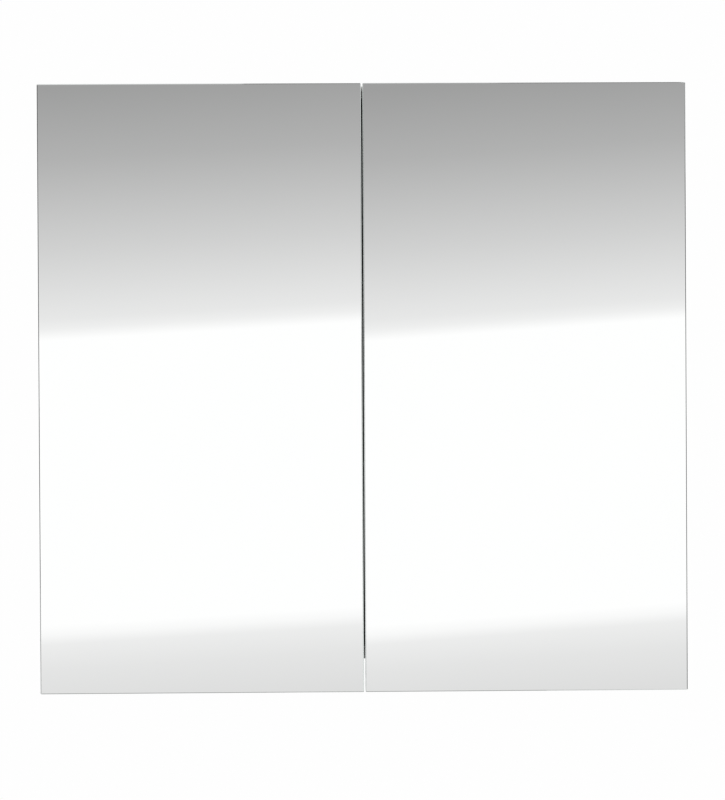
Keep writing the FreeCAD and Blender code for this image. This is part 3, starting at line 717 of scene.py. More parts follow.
def finish_piece(bm: bmesh.types.BMesh, name: str, body: str, materials: Sequence[bpy.types.Material],
                 replaces: Sequence[str] = (), smooth: float = 35.0) -> bpy.types.Object:
    """Turn a mesh into a piece of the cabinet.

    Args:
        bm: the mesh, in place; it is freed.
        name: the piece's name.
        body: the CAD body it moves with.
        materials: its materials, by face index.
        replaces: CAD nodes that it stands for.
        smooth: edges sharper than this many degrees stay crisp.

    Returns:
        The piece.
    """
    for face in bm.faces:
        face.smooth = True
    for edge in bm.edges:
        edge.smooth = len(edge.link_faces) == 2 and edge.calc_face_angle(0.0) < math.radians(smooth)
    triangles = sum(len(face.verts) - 2 for face in bm.faces)
    obj = stand(bm, name, materials)
    flatten = obj.modifiers.new("flat_faces", "WEIGHTED_NORMAL")
    flatten.keep_sharp = True
    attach(obj, body)
    if replaces:
        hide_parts(*replaces)
    LOG.info("%s on %s: %d triangles", name, body, triangles)
    return obj


def corners(node: str) -> tuple[Vector, Vector]:
    """A CAD node's lowest and highest corners."""
    low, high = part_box(node)
    return Vector(low), Vector(high)


def copy_of(node: str) -> bmesh.types.BMesh:
    """A CAD node's mesh as a merged copy.

    Args:
        node: the node's name.

    Returns:
        The copy, with its flat faces whole.
    """
    bm = bmesh.new()
    bm.from_mesh(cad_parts[node].data)
    bmesh.ops.remove_doubles(bm, verts=bm.verts, dist=HAIR)
    bmesh.ops.dissolve_limit(bm, angle_limit=math.radians(1), verts=bm.verts, edges=bm.edges)
    return bm


# ---- carcass ----

@dataclass(frozen=True)
class Carcass:
    """Sides, ends, rails and back, with their front edge bands and shelf-hole rows."""

    finishes: Finishes
    arris: float = 0.7 * MM
    band_thick: float = 0.8 * MM
    hole_radius: float = 2.55 * MM
    hole_deep: float = 9.05 * MM
    hole_pitch: float = 32 * MM
    hole_count: int = 5
    hole_flare: float = 0.35 * MM
    hole_sides: int = 20
    pin_radius: float = 2.5 * MM
    rail_arris: float = 0.4 * MM
    overrun: float = 1 * MM
    screw_radius: float = 3.0 * MM
    screw_spread: float = 320 * MM
    screw_level: float = 310 * MM

    def _band(self, bm: bmesh.types.BMesh, front: float) -> bmesh.types.BMesh:
        """Part the front strip off as edge band, by a cut round the board just behind its front edge.

        Args:
            bm: the board.
            front: Y of its front edge.

        Returns:
            The board, with its band faces on material 1.
        """
        geometry = [*bm.verts, *bm.edges, *bm.faces]
        bmesh.ops.bisect_plane(bm, geom=geometry, plane_co=(0, front + self.band_thick, 0), plane_no=(0, 1, 0))
        for face in bm.faces:
            if face.calc_center_median().y < front + self.band_thick - HAIR:
                face.material_index = 1
        return bm

    def side(self, hand: Hand) -> None:
        """One side panel, with two rows of shelf holes for each shelf.

        Args:
            hand: which side.
        """
        low, high = corners(f"side_{hand.word}")
        inner = low.x if hand is Hand.RIGHT else high.x
        pins = corners("shelf_pins")
        rows = (pins[0].y + self.pin_radius, pins[1].y - self.pin_radius)
        centres = (pins[0].z + self.pin_radius, pins[1].z - self.pin_radius)
        board = soften(block(low, high), self.arris)
        holes = []
        for row in rows:
            for centre in centres:
                for step in range(self.hole_count):
                    level = centre + (step - self.hole_count // 2) * self.hole_pitch
                    holes.append(self._shelf_hole(hand, inner, row, level))
        board = combine(board, holes, Joint.CUT)
        board = self._band(board, low.y)
        finish_piece(board, f"{hand.word}_side", "cabinet",
                     (self.finishes.melamine, self.finishes.band), [f"side_{hand.word}"])

    def _shelf_hole(self, hand: Hand, inner: float, row: float, level: float) -> bmesh.types.BMesh:
        """The tool for one shelf hole, with a lightly countersunk mouth.

        Args:
            hand: the side panel's hand.
            inner: X of its inner face.
            row: the hole's Y.
            level: the hole's Z.

        Returns:
            The tool.
        """
        r, flare = self.hole_radius, self.hole_flare
        profile = [(0, -self.overrun), (r + flare, -self.overrun), (r + flare, 0), (r, flare), (r, self.hole_deep),
                   (0, self.hole_deep)]
        tool = lathe(profile, (0, 0, 0), Axis.X, self.hole_sides)
        if hand is Hand.LEFT:
            flip_x(tool)
        bmesh.ops.translate(tool, vec=(inner, row, level), verts=tool.verts)
        return tool

    def plain_board(self, node: str) -> None:
        """A board with a banded front edge and eased corners.

        Args:
            node: its CAD node.
        """
        low, high = corners(node)
        board = self._band(soften(block(low, high), self.arris), low.y)
        finish_piece(board, f"{node}_board", "cabinet", (self.finishes.melamine, self.finishes.band), [node])

    def _wall_holes(self, low: Vector, high: Vector) -> list[bmesh.types.BMesh]:
        """Tools for the wall-screw holes of one board.

        Args:
            low: the board's lowest corner.
            high: its highest corner.

        Returns:
            One tool for each hole that meets the board.
        """
        tools = []
        for level in (-self.screw_level, self.screw_level):
            if low.z < level < high.z:
                for x in (-self.screw_spread, self.screw_spread):
                    tools.append(rod(self.screw_radius, (x, low.y - self.overrun, level),
                                     high.y - low.y + 2 * self.overrun, Axis.Y, 32))
        return tools

    def drilled_board(self, node: str, materials: Sequence[bpy.types.Material]) -> None:
        """A board with its wall-screw holes.

        Args:
            node: its CAD node.
            materials: its finishes.
        """
        low, high = corners(node)
        board = combine(soften(block(low, high), self.rail_arris), self._wall_holes(low, high), Joint.CUT)
        finish_piece(board, f"{node}_board", "cabinet", materials, [node])

    def build(self) -> None:
        """Make every board."""
        for hand in Hand:
            self.side(hand)
        for node in ("top_panel", "bottom_panel"):
            self.plain_board(node)
        for node in ("upper_rail", "lower_rail"):
            self.drilled_board(node, (self.finishes.melamine,))
        self.drilled_board("back_panel", (self.finishes.hardboard,))


# ---- doors ----

@dataclass(frozen=True)
class MirrorDoor:
    """One door: a white board with banded edges and cup bores, a frameless mirror, and tape between them."""

    hand: Hand
    finishes: Finishes
    band_thick: float = 0.8 * MM
    arris: float = 0.6 * MM
    glass_arris: float = 1.0 * MM
    glass_corner: float = 1.0 * MM
    cup_radius: float = 17.55 * MM
    cup_deep: float = 11.6 * MM
    hinge_level: float = 260 * MM
    cup_x: float = 376.5 * MM
    tape_round: float = 0.3 * MM
    dome_rim: float = 0.15

    @property
    def body(self) -> str:
        """The CAD body the door moves with."""
        return f"{self.hand.word}_door"

    def mirror(self) -> None:
        """The pane: a polished arris round the front, silver behind it, paint on the back."""
        low, high = corners(f"{self.hand.word}_mirror")
        pane = block(low, high)
        soften(pane, self.glass_arris, 1, lambda e: all(abs(v.co.y - low.y) < HAIR for v in e.verts))
        soften(pane, self.glass_corner, 5, lambda e: all(abs(v.co.y - w.co.y) > HAIR for v, w in [e.verts]), 80)
        for face in pane.faces:
            face.material_index = 1
            if face.normal.y < -0.99:
                face.material_index = 0
            elif face.normal.y > 0.99:
                face.material_index = 2
            elif face.normal.y < -0.3:
                face.material_index = 3
        finish_piece(pane, f"{self.hand.word}_mirror_pane", self.body,
                     (self.finishes.silver, self.finishes.edge, self.finishes.back_paint, self.finishes.arris),
                     [f"{self.hand.word}_mirror"], 20.0)

    def panel(self) -> None:
        """The board, bored for two hinge cups; every narrow face is edge band."""
        low, high = corners(f"{self.hand.word}_door_panel")
        board = soften(block(low, high), self.arris)
        tools = [rod(self.cup_radius, (self.hand.value * self.cup_x, high.y - self.cup_deep, level),
                     self.cup_deep + 1 * MM, Axis.Y, 64) for level in (-self.hinge_level, self.hinge_level)]
        board = combine(board, tools, Joint.CUT)
        centre = (low + high) / 2
        for axis, sign in ((0, -1), (0, 1), (2, -1), (2, 1)):
            side = Vector((0, 0, 0))
            side[axis] = sign
            spot = centre.copy()
            spot[axis] = (low if sign < 0 else high)[axis] - sign * self.band_thick
            bmesh.ops.bisect_plane(board, geom=[*board.verts, *board.edges, *board.faces], plane_co=spot,
                                   plane_no=side)
            for face in board.faces:
                if (face.calc_center_median() - spot).dot(side) > HAIR:
                    face.material_index = 1
        finish_piece(board, f"{self.hand.word}_door_board", self.body,
                     (self.finishes.melamine, self.finishes.band), [f"{self.hand.word}_door_panel"])

    def tape(self) -> None:
        """The foam tape strips, with slightly bulged edges."""
        node = f"{self.hand.word}_mirror_tape"
        strips = soften(copy_of(node), self.tape_round, 3,
                        lambda e: all(abs(v.co.y - w.co.y) < HAIR for v, w in [e.verts]))
        finish_piece(strips, f"{self.hand.word}_foam_strips", self.body, (self.finishes.foam,), [node])

    def buffers(self) -> None:
        """Clear domes near the free edge that the closed door rests on."""
        node = f"{self.hand.word}_door_buffers"
        low, high = corners(node)
        radius, tall = (high.x - low.x) / 2, high.y - low.y
        profile = [(0, 0), (radius, 0), (radius, self.dome_rim * tall)]
        profile += [(radius * math.cos(t), tall * (self.dome_rim + (1 - self.dome_rim) * math.sin(t)))
                    for t in [math.radians(12 * i) for i in range(1, 8)]]
        profile.append((0, tall))
        domes = [lathe(profile, ((low.x + high.x) / 2, low.y, level), Axis.Y, 40)
                 for level in (low.z + radius, high.z - radius)]
        finish_piece(merge(domes), f"{self.hand.word}_buffer_domes", self.body, (self.finishes.soft,),
                     [node], 60.0)

    def build(self) -> None:
        """Make the door."""
        self.mirror()
        self.panel()
        self.tape()
        self.buffers()


# ---- shelves ----

@dataclass(frozen=True)
class Shelves:
    """Two clear glass shelves on pins with sleeves."""

    finishes: Finishes
    arris: float = 0.8 * MM
    corner: float = 4.0 * MM
    pin_radius: float = 2.5 * MM
    sleeve_radius: float = 3.5 * MM
    sleeve_long: float = 8 * MM
    pin_lip: float = 0.5 * MM
    sleeve_lip: float = 0.3 * MM

    def shelf(self, level: str) -> None:
        """One pane, with ground corners and polished green edges.

        Args:
            level: "upper" or "lower", as its CAD node is named.
        """
        node = f"{level}_shelf"
        low, high = corners(node)
        pane = block(low, high)
        soften(pane, self.corner, 6, lambda e: abs(e.verts[0].co.z - e.verts[1].co.z) > 1 * MM, 80)
        soften(pane, self.arris, 2, lambda e: abs(e.verts[0].co.z - e.verts[1].co.z) < HAIR, 80)
        for face in pane.faces:
            face.material_index = 0 if abs(face.normal.z) > 0.99 else 1
        finish_piece(pane, f"{level}_glass_shelf", "cabinet",
                     (self.finishes.glass, self.finishes.green), [node], 25.0)

    def _row(self, node: str, radius: float, long: float, profile: Sequence[tuple[float, float]],
             ) -> bmesh.types.BMesh:
        """A turned shape at every place of a node that holds all of its kind.

        Args:
            node: the CAD node.
            radius: the shape's radius.
            long: its length.
            profile: its outline, from its lower X.

        Returns:
            One mesh with all of them.
        """
        low, high = corners(node)
        shells = []
        for start in (low.x, high.x - long):
            for y in (low.y + radius, high.y - radius):
                for z in (low.z + radius, high.z - radius):
                    shell = lathe(profile, (0, 0, 0), Axis.X, 32)
                    bmesh.ops.translate(shell, vec=(start, y, z), verts=shell.verts)
                    shells.append(shell)
        return merge(shells)

    def pins(self) -> None:
        """Nickel pins with domed ends, from the bottom of their holes to the ends of their sleeves."""
        long = corners("shelf_pins")[1].x - (corners("shelf_pin_sleeves")[1].x - self.sleeve_long)
        r, lip = self.pin_radius, self.pin_lip
        profile = [(0, 0), (r - lip, 0), (r - lip * 0.3, lip * 0.3), (r, lip), (r, long - lip),
                   (r - lip * 0.3, long - lip * 0.3), (r - lip, long), (0, long)]
        finish_piece(self._row("shelf_pins", r, long, profile), "nickel_shelf_pins", "cabinet",
                     (self.finishes.nickel,), ["shelf_pins"])

    def sleeves(self) -> None:
        """Soft sleeves over the pins' free ends."""
        long, inner, outer, lip = self.sleeve_long, self.pin_radius, self.sleeve_radius, self.sleeve_lip
        profile = [(inner, 0), (outer - lip, 0), (outer, lip), (outer, long - lip), (outer - lip, long), (inner, long)]
        finish_piece(self._row("shelf_pin_sleeves", outer, long, profile), "clear_pin_sleeves", "cabinet",
                     (self.finishes.soft,), ["shelf_pin_sleeves"])

    def build(self) -> None:
        """Make the shelves and what holds them."""
        for level in ("upper", "lower"):
            self.shelf(level)
        self.pins()
        self.sleeves()


# ---- hinges and small fittings ----

@dataclass(frozen=True)
class Screw:
    """A cross-recessed screw along +Z, with the underside of its head at zero."""

    head_radius: float
    head_high: float
    shank_radius: float
    shank_long: float
    pitch: float = 1.2 * MM
    tip: float = 0.2 * MM
    lead: float = 0.8 * MM
    neck: float = 0.4 * MM
    overrun: float = 1 * MM

    def mesh(self) -> bmesh.types.BMesh:
        """Turn the screw with its thread ridges and cut the recess.

        Returns:
            The screw.
        """
        long, tall, big, outer = self.shank_long, self.head_high, self.head_radius, self.shank_radius
        root = 0.8 * outer
        profile = [(0, -long), (0.4 * root, -long + self.tip)]
        level = -long + self.lead
        while level < -self.neck - self.pitch:
            profile += [(root, level), (outer, level + self.pitch / 2)]
            level += self.pitch
        profile += [(root, level), (root, 0), (0.94 * big, 0), (big, 0.12 * tall), (big, 0.5 * tall),
                    (0.93 * big, 0.78 * tall), (0.7 * big, 0.94 * tall), (0.35 * big, tall), (0, tall)]
        arm, half, floor = 0.6 * big, 0.13 * big, 0.35 * tall
        cross = [block((-arm, -half, floor), (arm, half, tall + self.overrun)),
                 block((-half, -arm, floor), (half, arm, tall + self.overrun))]
        return combine(lathe(profile, (0, 0, 0), Axis.Z, 40), cross, Joint.CUT)


@dataclass(frozen=True)
class Hinges:
    """One door's two concealed hinges: turned cups, crossed screws, and stamped parts with eased edges.

    Every place is given for the left door; the right one mirrors it.
    """

    hand: Hand
    finishes: Finishes
    levels: tuple[float, float] = (-260 * MM, 260 * MM)
    cup_x: float = -376.5 * MM
    cup_base: float = -161.5 * MM
    cup_radius: float = 17.5 * MM
    cup_inner: float = 16.4 * MM
    cup_tall: float = 12.5 * MM
    cup_floor: float = 0.8 * MM
    flange_radius: float = 18.5 * MM
    flange_thick: float = 1.0 * MM
    ear_low_x: float = -372.5 * MM
    ear_high_x: float = -361.5 * MM
    ear_reach: float = 29 * MM
    ear_round: float = 4 * MM
    ear_low: float = 0.95 * MM
    ear_high: float = 0.1 * MM
    cup_screw_x: float = -367 * MM
    cup_screw_seat: float = 11.5 * MM
    cup_screw_half: float = 22.5 * MM
    plate_screw_x: float = -382 * MM
    plate_screw_y: float = -111 * MM
    plate_screw_half: float = 16 * MM
    arm_screw_x: float = -371 * MM
    arm_screw_ys: tuple[float, float] = (-125 * MM, -99 * MM)
    plate_half: float = 22 * MM
    plate_corner: float = 1 * MM
    plate_round: float = 3 * MM
    cup_screw: Screw = Screw(3.4 * MM, 1.4 * MM, 1.7 * MM, 10 * MM)
    plate_screw: Screw = Screw(4.0 * MM, 1.6 * MM, 2.5 * MM, 14 * MM, 1.6 * MM)
    arm_screw: Screw = Screw(3.5 * MM, 1.6 * MM, 1.9 * MM, 7.8 * MM, 0.8 * MM)

    def _handed(self, bm: bmesh.types.BMesh) -> bmesh.types.BMesh:
        """The mesh on this hand's side, from the left one."""
        return bm if self.hand is Hand.LEFT else flip_x(bm)

    def _piece(self, bm: bmesh.types.BMesh, name: str, body: str, material: bpy.types.Material,
               node: str, smooth: float = 35.0) -> None:
        """Finish one of this hand's pieces.

        Args:
            bm: its mesh on this hand's side.
            name: its name without the hand.
            body: its body without the hand, or "cabinet".
            material: its finish.
            node: the CAD node it stands for, without the hand.
            smooth: edges sharper than this stay crisp.
        """
        rider = body if body == "cabinet" else f"{self.hand.word}_{body}"
        finish_piece(bm, f"{self.hand.word}_{name}", rider, (material,), [f"{self.hand.word}_{node}"], smooth)

    def _cup(self, level: float) -> bmesh.types.BMesh:
        """One cup: a pressed bowl with a rolled rim and two screw ears.

        Args:
            level: Z of its middle.

        Returns:
            The cup.
        """
        out, inn, tall, floor = self.cup_radius, self.cup_inner, self.cup_tall, self.cup_floor
        rim, under = self.flange_radius, self.cup_tall - self.flange_thick
        step = 0.3 * MM
        profile = [(0, 0), (out - 2 * MM, 0), (out - 0.9 * MM, 0.3 * MM), (out - 0.25 * MM, 0.9 * MM),
                   (out, 2 * MM), (out, under), (rim - step, under), (rim, under + step), (rim, tall - step),
                   (rim - step, tall), (inn + 0.5 * MM, tall), (inn + 0.15 * MM, tall - 0.15 * MM),
                   (inn, tall - 0.5 * MM), (inn, 2.8 * MM), (inn - 0.3 * MM, floor + 1.1 * MM),
                   (inn - 1 * MM, floor + 0.35 * MM), (inn - 2.2 * MM, floor), (0, floor)]
        start = (self.cup_x, self.cup_base, level)
        bowl = lathe(profile, start, Axis.Y, 96)
        top = self.cup_base + tall
        ear = block((self.ear_low_x, top - self.ear_low, level - self.ear_reach),
                    (self.ear_high_x, top - self.ear_high, level + self.ear_reach))
        soften(ear, self.ear_round, 6, lambda e: abs(e.verts[0].co.y - e.verts[1].co.y) > 10 * HAIR)
        soften(ear, 0.2 * MM, 2, lambda e: abs(e.verts[0].co.y - e.verts[1].co.y) < HAIR)
        hole = rod((out + inn) / 2, (self.cup_x, top - 3 * MM, level), 6 * MM, Axis.Y, 96)
        return combine(bowl, [combine(ear, [hole], Joint.CUT)], Joint.JOIN)

    def _screws(self, screw: Screw, spots: Sequence[Point], axis: Axis) -> bmesh.types.BMesh:
        """Several like screws, each stopped at its own angle.

        Args:
            screw: their kind.
            spots: where the undersides of their heads sit, on the left door.
            axis: the way they point.

        Returns:
            One mesh with all of them, on this hand's side.
        """
        pattern = screw.mesh()
        shells = []
        for i, spot in enumerate(spots):
            shell = pattern.copy()
            turn = Matrix.Rotation(math.radians(17 + 37 * i), 4, "Z")
            bmesh.ops.transform(shell, matrix=Matrix.Translation(spot) @ axis.value @ turn, verts=shell.verts)
            shells.append(shell)
        pattern.free()
        return self._handed(merge(shells))

    def eased(self, part: str, name: str, body: str, material: bpy.types.Material, width: float) -> None:
        """A stamped part from its CAD shape with softly rounded edges.

        Args:
            part: the node's name without its hand.
            name: the new piece's name without its hand.
            body: the body's name without its hand, or "cabinet".
            material: its finish.
            width: the rounding.
        """
        bm = copy_of(f"{self.hand.word}_{part}")
        soften(bm, width, 2, angle=50.0)
        bmesh.ops.recalc_face_normals(bm, faces=bm.faces)
        self._piece(bm, name, body, material, part)

    def _plates(self) -> bmesh.types.BMesh:
        """Mounting plates with rounded corners, from their CAD shape.

        Returns:
            The plates.
        """
        bm = copy_of(f"{self.hand.word}_hinge_plates")
        ends = [level + side * self.plate_half for level in self.levels for side in (-1, 1)]
        soften(bm, self.plate_round, 6, lambda e: abs(e.verts[0].co.x - e.verts[1].co.x) > 0.5 * MM and all(
            min(abs(v.co.z - end) for end in ends) < self.plate_corner for v in e.verts))
        soften(bm, 0.35 * MM, 2, angle=50.0)
        bmesh.ops.recalc_face_normals(bm, faces=bm.faces)
        return bm

    def build(self) -> None:
        """Make every part of the pair."""
        f = self.finishes
        cups = self._handed(merge([self._cup(level) for level in self.levels]))
        self._piece(cups, "cup_bowls", "door", f.nickel, "hinge_cups", 30.0)
        cup_spots = [(self.cup_screw_x, self.cup_base + self.cup_screw_seat, level + side * self.cup_screw_half)
                     for level in self.levels for side in (-1, 1)]
        plate_spots = [(self.plate_screw_x, self.plate_screw_y, level + side * self.plate_screw_half)
                       for level in self.levels for side in (-1, 1)]
        arm_spots = [(self.arm_screw_x, y, level) for level in self.levels for y in self.arm_screw_ys]
        for screw, spots, axis, part, body in (
                (self.cup_screw, cup_spots, Axis.Y, "cup_screws", "door"),
                (self.plate_screw, plate_spots, Axis.X, "plate_screws", "cabinet"),
                (self.arm_screw, arm_spots, Axis.X, "arm_screws", "cabinet")):
            self._piece(self._screws(screw, spots, axis), f"crossed_{part}", body, f.zinc, part)
        self.eased("cup_pins", "cup_rivets", "door", f.zinc, 0.12 * MM)
        self.eased("outer_links", "goose_neck_links", "outer_links", f.nickel, 0.15 * MM)
        self.eased("inner_links", "link_plates", "inner_links", f.nickel, 0.12 * MM)
        self.eased("hinge_arms", "arms", "cabinet", f.nickel, 0.45 * MM)
        self.eased("arm_pins", "arm_rivets", "cabinet", f.zinc, 0.12 * MM)
        self._piece(self._plates(), "mounting_plates", "cabinet", f.cast, "hinge_plates")


@dataclass(frozen=True)
class Joinery:
    """What holds the boards together: dowels, cams, bolts and the covers over the cams."""

    finishes: Finishes
    cover_radius: float = 7.5 * MM
    cover_thick: float = 0.8 * MM

    def covers(self) -> None:
        """Press-in covers, slightly domed with a rounded rim."""
        low, high = corners("cam_covers")
        radius, thick = self.cover_radius, self.cover_thick
        profile = [(0, 0), (radius, 0), (radius, thick * 0.35), (radius * 0.985, thick * 0.65),
                   (radius * 0.93, thick * 0.85), (radius * 0.5, thick * 0.96), (0, thick)]
        shells = []
        for x in (low.x + radius, high.x - radius):
            for y in (low.y + radius, high.y - radius):
                for up in (-1, 1):
                    shell = lathe(profile, (0, 0, 0), Axis.Z, 48)
                    if up < 0:
                        bmesh.ops.scale(shell, vec=(1, 1, -1), verts=shell.verts)
                        bmesh.ops.reverse_faces(shell, faces=shell.faces)
                    seat = (high.z - thick) if up > 0 else (low.z + thick)
                    bmesh.ops.translate(shell, vec=(x, y, seat), verts=shell.verts)
                    shells.append(shell)
        finish_piece(merge(shells), "cam_cover_caps", "cabinet", (self.finishes.cap,),
                     ["cam_covers"], 50.0)

    def build(self) -> None:
        """Make the covers, and give the hidden CAD parts their finishes."""
        self.covers()
        for node, material in (("dowels", self.finishes.beech), ("rail_dowels", self.finishes.beech),
                               ("cam_bolts", self.finishes.zinc), ("cam_housings", self.finishes.cast)):
            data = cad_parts[node].data
            data.materials.clear()
            data.materials.append(material)


# ---- studio ----

@dataclass(frozen=True)
class Step:
    """How bright the room looks at one height on a mirror, measured at the middle of its door."""

    height: float
    level: float


@dataclass(frozen=True)
class View:
    """What one door's mirror shows: the steps, and how far they climb to the right."""

    hand: Hand
    climb: float


@dataclass(frozen=True)
class Studio:
    """Camera, daylight, a pale floor, and the bright room that the mirrors show."""

    lens: float = 88.714
    distance: float = 2.2
    front: float = -0.17
    eye_x: float = -0.0256
    eye_z: float = -0.0194
    yaw: float = -0.642
    pitch: float = -0.378
    roll: float = 0.31
    card_far: float = 3.5
    fade_x: tuple[float, float] = (1.12, 1.75)
    fade_z: tuple[float, float] = (1.04, 1.75)
    door_middle: float = 0.2
    floor_level: float = -1.0
    floor_half: float = 3.0
    floor_shape: tuple[float, float] = (0.6, -0.3)
    card_size: tuple[float, float] = (1.8, 3.6)
    side_flag: tuple[float, float] = (2.0, 0.8)
    side_flag_far: float = 2.0
    side_flag_level: float = 0.02
    top_flag: tuple[float, float] = (1.4, 0.8)
    top_flag_high: float = 2.0
    top_flag_level: float = 0.2
    low_flag: tuple[float, float] = (1.2, 0.36)
    low_flag_lift: float = 0.02
    low_flag_level: float = 0.35
    ambient: float = 0.72
    views: tuple[View, ...] = (View(Hand.LEFT, 0.0554), View(Hand.RIGHT, 0.0688))
    steps: tuple[Step, ...] = (
        Step(-0.40, 0.755), Step(-0.354, 0.812), Step(-0.323, 0.88), Step(-0.311, 0.985), Step(-0.299, 1.04),
        Step(0.052, 1.04), Step(0.065, 0.90), Step(0.077, 0.836), Step(0.163, 0.66), Step(0.274, 0.459),
        Step(0.36, 0.36))

    def camera(self) -> None:
        """A long lens nearly square to the doors, turned by a fraction of a degree."""
        data = bpy.data.cameras.new("camera")
        data.sensor_fit = "HORIZONTAL"
        data.sensor_width = 36.0
        data.lens = self.lens
        data.clip_end = 60.0
        obj = bpy.data.objects.new("camera", data)
        place = Matrix.Translation((self.eye_x, self.front - self.distance, self.eye_z))
        turn = Matrix.Rotation(math.radians(self.yaw), 4, "Z")
        turn = turn @ Matrix.Rotation(math.radians(90 + self.pitch), 4, "X")
        obj.matrix_world = place @ turn @ Matrix.Rotation(math.radians(-self.roll), 4, "Z")
        bpy.context.scene.collection.objects.link(obj)
        bpy.context.scene.camera = obj

    def world(self) -> None:
        """White to the camera and a little dimmer as light."""
        world = bpy.data.worlds.new("daylight")
        world.use_nodes = True
        tree = world.node_tree
        tree.nodes.clear()
        output = tree.nodes.new("ShaderNodeOutputWorld")
        path = tree.nodes.new("ShaderNodeLightPath")
        seen, light = tree.nodes.new("ShaderNodeBackground"), tree.nodes.new("ShaderNodeBackground")
        seen.inputs["Color"].default_value = (0.992, 0.992, 0.992, 1)
        light.inputs["Color"].default_value = (self.ambient, self.ambient, self.ambient * 1.01, 1)
        mix = tree.nodes.new("ShaderNodeMixShader")
        tree.links.new(path.outputs["Is Camera Ray"], mix.inputs["Fac"])
        tree.links.new(light.outputs[0], mix.inputs[1])
        tree.links.new(seen.outputs[0], mix.inputs[2])
        tree.links.new(mix.outputs[0], output.inputs["Surface"])
        bpy.context.scene.world = world

    def lamp(self, name: str, spot: Point, aim: Point, size: float, power: float) -> None:
        """A soft square lamp that the camera and the mirrors don't see.

        Args:
            name: its name.
            spot: where it hangs.
            aim: the point it faces.
            size: its side.
            power: its power in watts.
        """
        data = bpy.data.lights.new(name, "AREA")
        data.size, data.energy = size, power
        obj = bpy.data.objects.new(name, data)
        obj.location = spot
        obj.rotation_euler = (Vector(aim) - Vector(spot)).to_track_quat("-Z", "Y").to_euler()
        obj.visible_camera = False
        obj.visible_glossy = False
        bpy.context.scene.collection.objects.link(obj)

    def floor(self) -> None:
        """A plain pale floor below the cabinet."""
        bm = bmesh.new()
        bmesh.ops.create_grid(bm, x_segments=1, y_segments=1, size=self.floor_half)
        depth, forward = self.floor_shape
        bmesh.ops.scale(bm, vec=(1, depth, 1), verts=bm.verts)
        bmesh.ops.translate(bm, vec=(0, forward, self.floor_level), verts=bm.verts)
        sheet = NodeSheet("pale_floor")
        shader = sheet.principled(Roughness=0.7)
        sheet.join(sheet.blend(sheet.ranged(sheet.noise(2.0), 0.0, 1.0), (0.86, 0.86, 0.86), (0.84, 0.84, 0.84)),
                   shader.inputs["Base Color"])
        stand(bm, "floor", (sheet.material,))

    def glow(self, view: View) -> bpy.types.Material:
        """A light-giving finish that makes one mirror show the steps.

        Args:
            view: the door and the steps' climb.

        Returns:
            The material.
        """
        sheet = NodeSheet(f"{view.hand.word}_view_glow")
        reach = self.card_far / self.distance
        tilted = sheet.add("VectorMath", operation="DOT_PRODUCT")
        sheet.join(sheet.place(), tilted.inputs[0])
        tilted.inputs[1].default_value = (-view.climb / (1 + reach), 0.0, 1 / (1 + reach))
        low, high = self.steps[0].height, self.steps[-1].height
        eye = (self.eye_z - view.climb * self.eye_x) * reach / (1 + reach)
        shift = eye + view.climb * view.hand.value * self.door_middle
        span = sheet.add("MapRange")
        span.inputs["From Min"].default_value = low - shift
        span.inputs["From Max"].default_value = high - shift
        sheet.join(tilted.outputs["Value"], span.inputs["Value"])
        node = sheet.add("ValToRGB")
        marks = node.color_ramp.elements
        for step in self.steps:
            where = (step.height - low) / (high - low)
            mark = marks[0] if step is self.steps[0] else marks[-1] if step is self.steps[-1] else marks.new(where)
            mark.position = where
            mark.color = (step.level, step.level, step.level, 1)
        sheet.join(span.outputs["Result"], node.inputs["Fac"])
        lamp = sheet.add("Emission", Strength=1.0)
        sheet.join(node.outputs["Color"], lamp.inputs["Color"])
        clear = sheet.add("BsdfTransparent")
        mix = sheet.add("MixShader")
        sheet.join(self._fade(sheet), mix.inputs["Fac"])
        sheet.join(clear.outputs[0], mix.inputs[1])
        sheet.join(lamp.outputs[0], mix.inputs[2])
        sheet.join(mix.outputs[0], sheet.output.inputs["Surface"])
        return sheet.material

    def _fade(self, sheet: NodeSheet) -> bpy.types.NodeSocket:
        """One over the middle of the cards, falling to nothing at their ends.

        Args:
            sheet: the card's material.

        Returns:
            The strength socket.
        """
        parts = sheet.add("SeparateXYZ")
        sheet.join(sheet.place(), parts.inputs["Vector"])
        product = sheet.add("Math", operation="MULTIPLY")
        for i, (letter, fade) in enumerate((("X", self.fade_x), ("Z", self.fade_z))):
            size = sheet.add("Math", operation="ABSOLUTE")
            sheet.join(parts.outputs[letter], size.inputs[0])
            ease = sheet.add("MapRange", interpolation_type="SMOOTHSTEP")
            for key, number in zip(("From Min", "From Max", "To Min", "To Max"), (*fade, 1.0, 0.0)):
                ease.inputs[key].default_value = number
            sheet.join(size.outputs[0], ease.inputs["Value"])
            sheet.join(ease.outputs["Result"], product.inputs[i])
        return product.outputs[0]

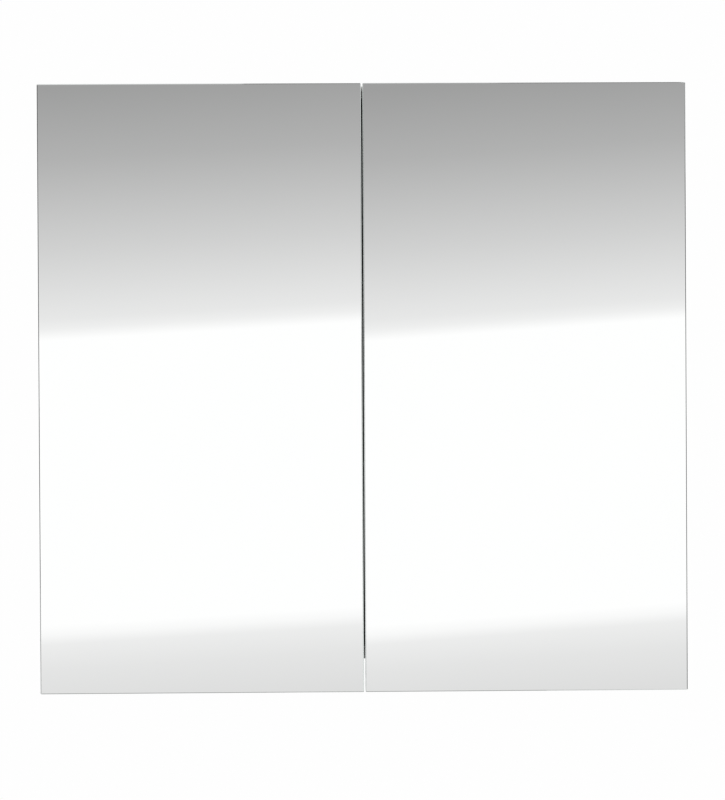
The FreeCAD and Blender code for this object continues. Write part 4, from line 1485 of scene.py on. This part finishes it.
    def card(self, name: str, middle: Point, size: tuple[float, float], turn: Matrix,
             material: bpy.types.Material) -> None:
        """A card beside the camera, seen only in shiny surfaces.

        Args:
            name: its name.
            middle: its centre.
            size: its width and height before the turn.
            turn: takes its plane, which starts flat, to where it faces.
            material: its finish.
        """
        bm = bmesh.new()
        bmesh.ops.create_grid(bm, x_segments=1, y_segments=1, size=0.5)
        bmesh.ops.scale(bm, vec=(*size, 1), verts=bm.verts)
        bmesh.ops.transform(bm, matrix=Matrix.Translation(middle) @ turn, verts=bm.verts)
        obj = stand(bm, name, (material,))
        for ray in ("camera", "diffuse", "shadow", "transmission"):
            setattr(obj, f"visible_{ray}", False)

    def plain_glow(self, name: str, level: float) -> bpy.types.Material:
        """An even light-giving finish.

        Args:
            name: its name.
            level: its brightness.

        Returns:
            The material.
        """
        sheet = NodeSheet(name)
        lamp = sheet.add("Emission", Strength=level)
        sheet.join(lamp.outputs[0], sheet.output.inputs["Surface"])
        return sheet.material

    def cards(self) -> None:
        """A bright card for each mirror, and dim ones beside and over the doors for their ground edges."""
        reach = self.card_far / self.distance
        split, (wide, tall) = -reach * self.eye_x, self.card_size
        upright = Matrix.Rotation(math.radians(90), 4, "X")
        for view in self.views:
            middle = (split + view.hand.value * wide / 2, self.front - self.card_far, 0.0)
            self.card(f"{view.hand.word}_view", middle, (wide, tall), upright, self.glow(view))
        sideways = Matrix.Rotation(math.radians(90), 4, "Y")
        dim = self.plain_glow("side_dim", self.side_flag_level)
        for hand in Hand:
            middle = (hand.value * self.side_flag_far, self.front, 0.0)
            self.card(f"{hand.word}_flag", middle, self.side_flag, sideways, dim)
        flat = Matrix.Identity(4)
        self.card("top_flag", (0.0, self.front, self.top_flag_high), self.top_flag, flat,
                  self.plain_glow("top_dim", self.top_flag_level))
        self.card("low_flag", (0.0, self.front, self.floor_level + self.low_flag_lift), self.low_flag, flat,
                  self.plain_glow("low_dim", self.low_flag_level))

    def build(self) -> None:
        """Set everything up."""
        scene = bpy.context.scene
        scene.view_settings.view_transform = "Standard"
        scene.view_settings.look = "None"
        self.camera()
        self.world()
        self.lamp("window", (-1.8, -2.2, 2.2), (0, 0, 0), 1.6, 38.0)
        self.lamp("fill", (2.2, -2.6, 0.4), (0, 0, 0), 2.2, 14.0)
        self.floor()
        self.cards()


def main() -> None:
    """Build the cabinet's looks and its studio."""
    logging.basicConfig(level=logging.INFO, format="%(message)s")
    finishes = Finishes()
    Carcass(finishes).build()
    for hand in Hand:
        MirrorDoor(hand, finishes).build()
        Hinges(hand, finishes).build()
    Shelves(finishes).build()
    Joinery(finishes).build()
    Studio().build()


if __name__ == "__main__":
    main()
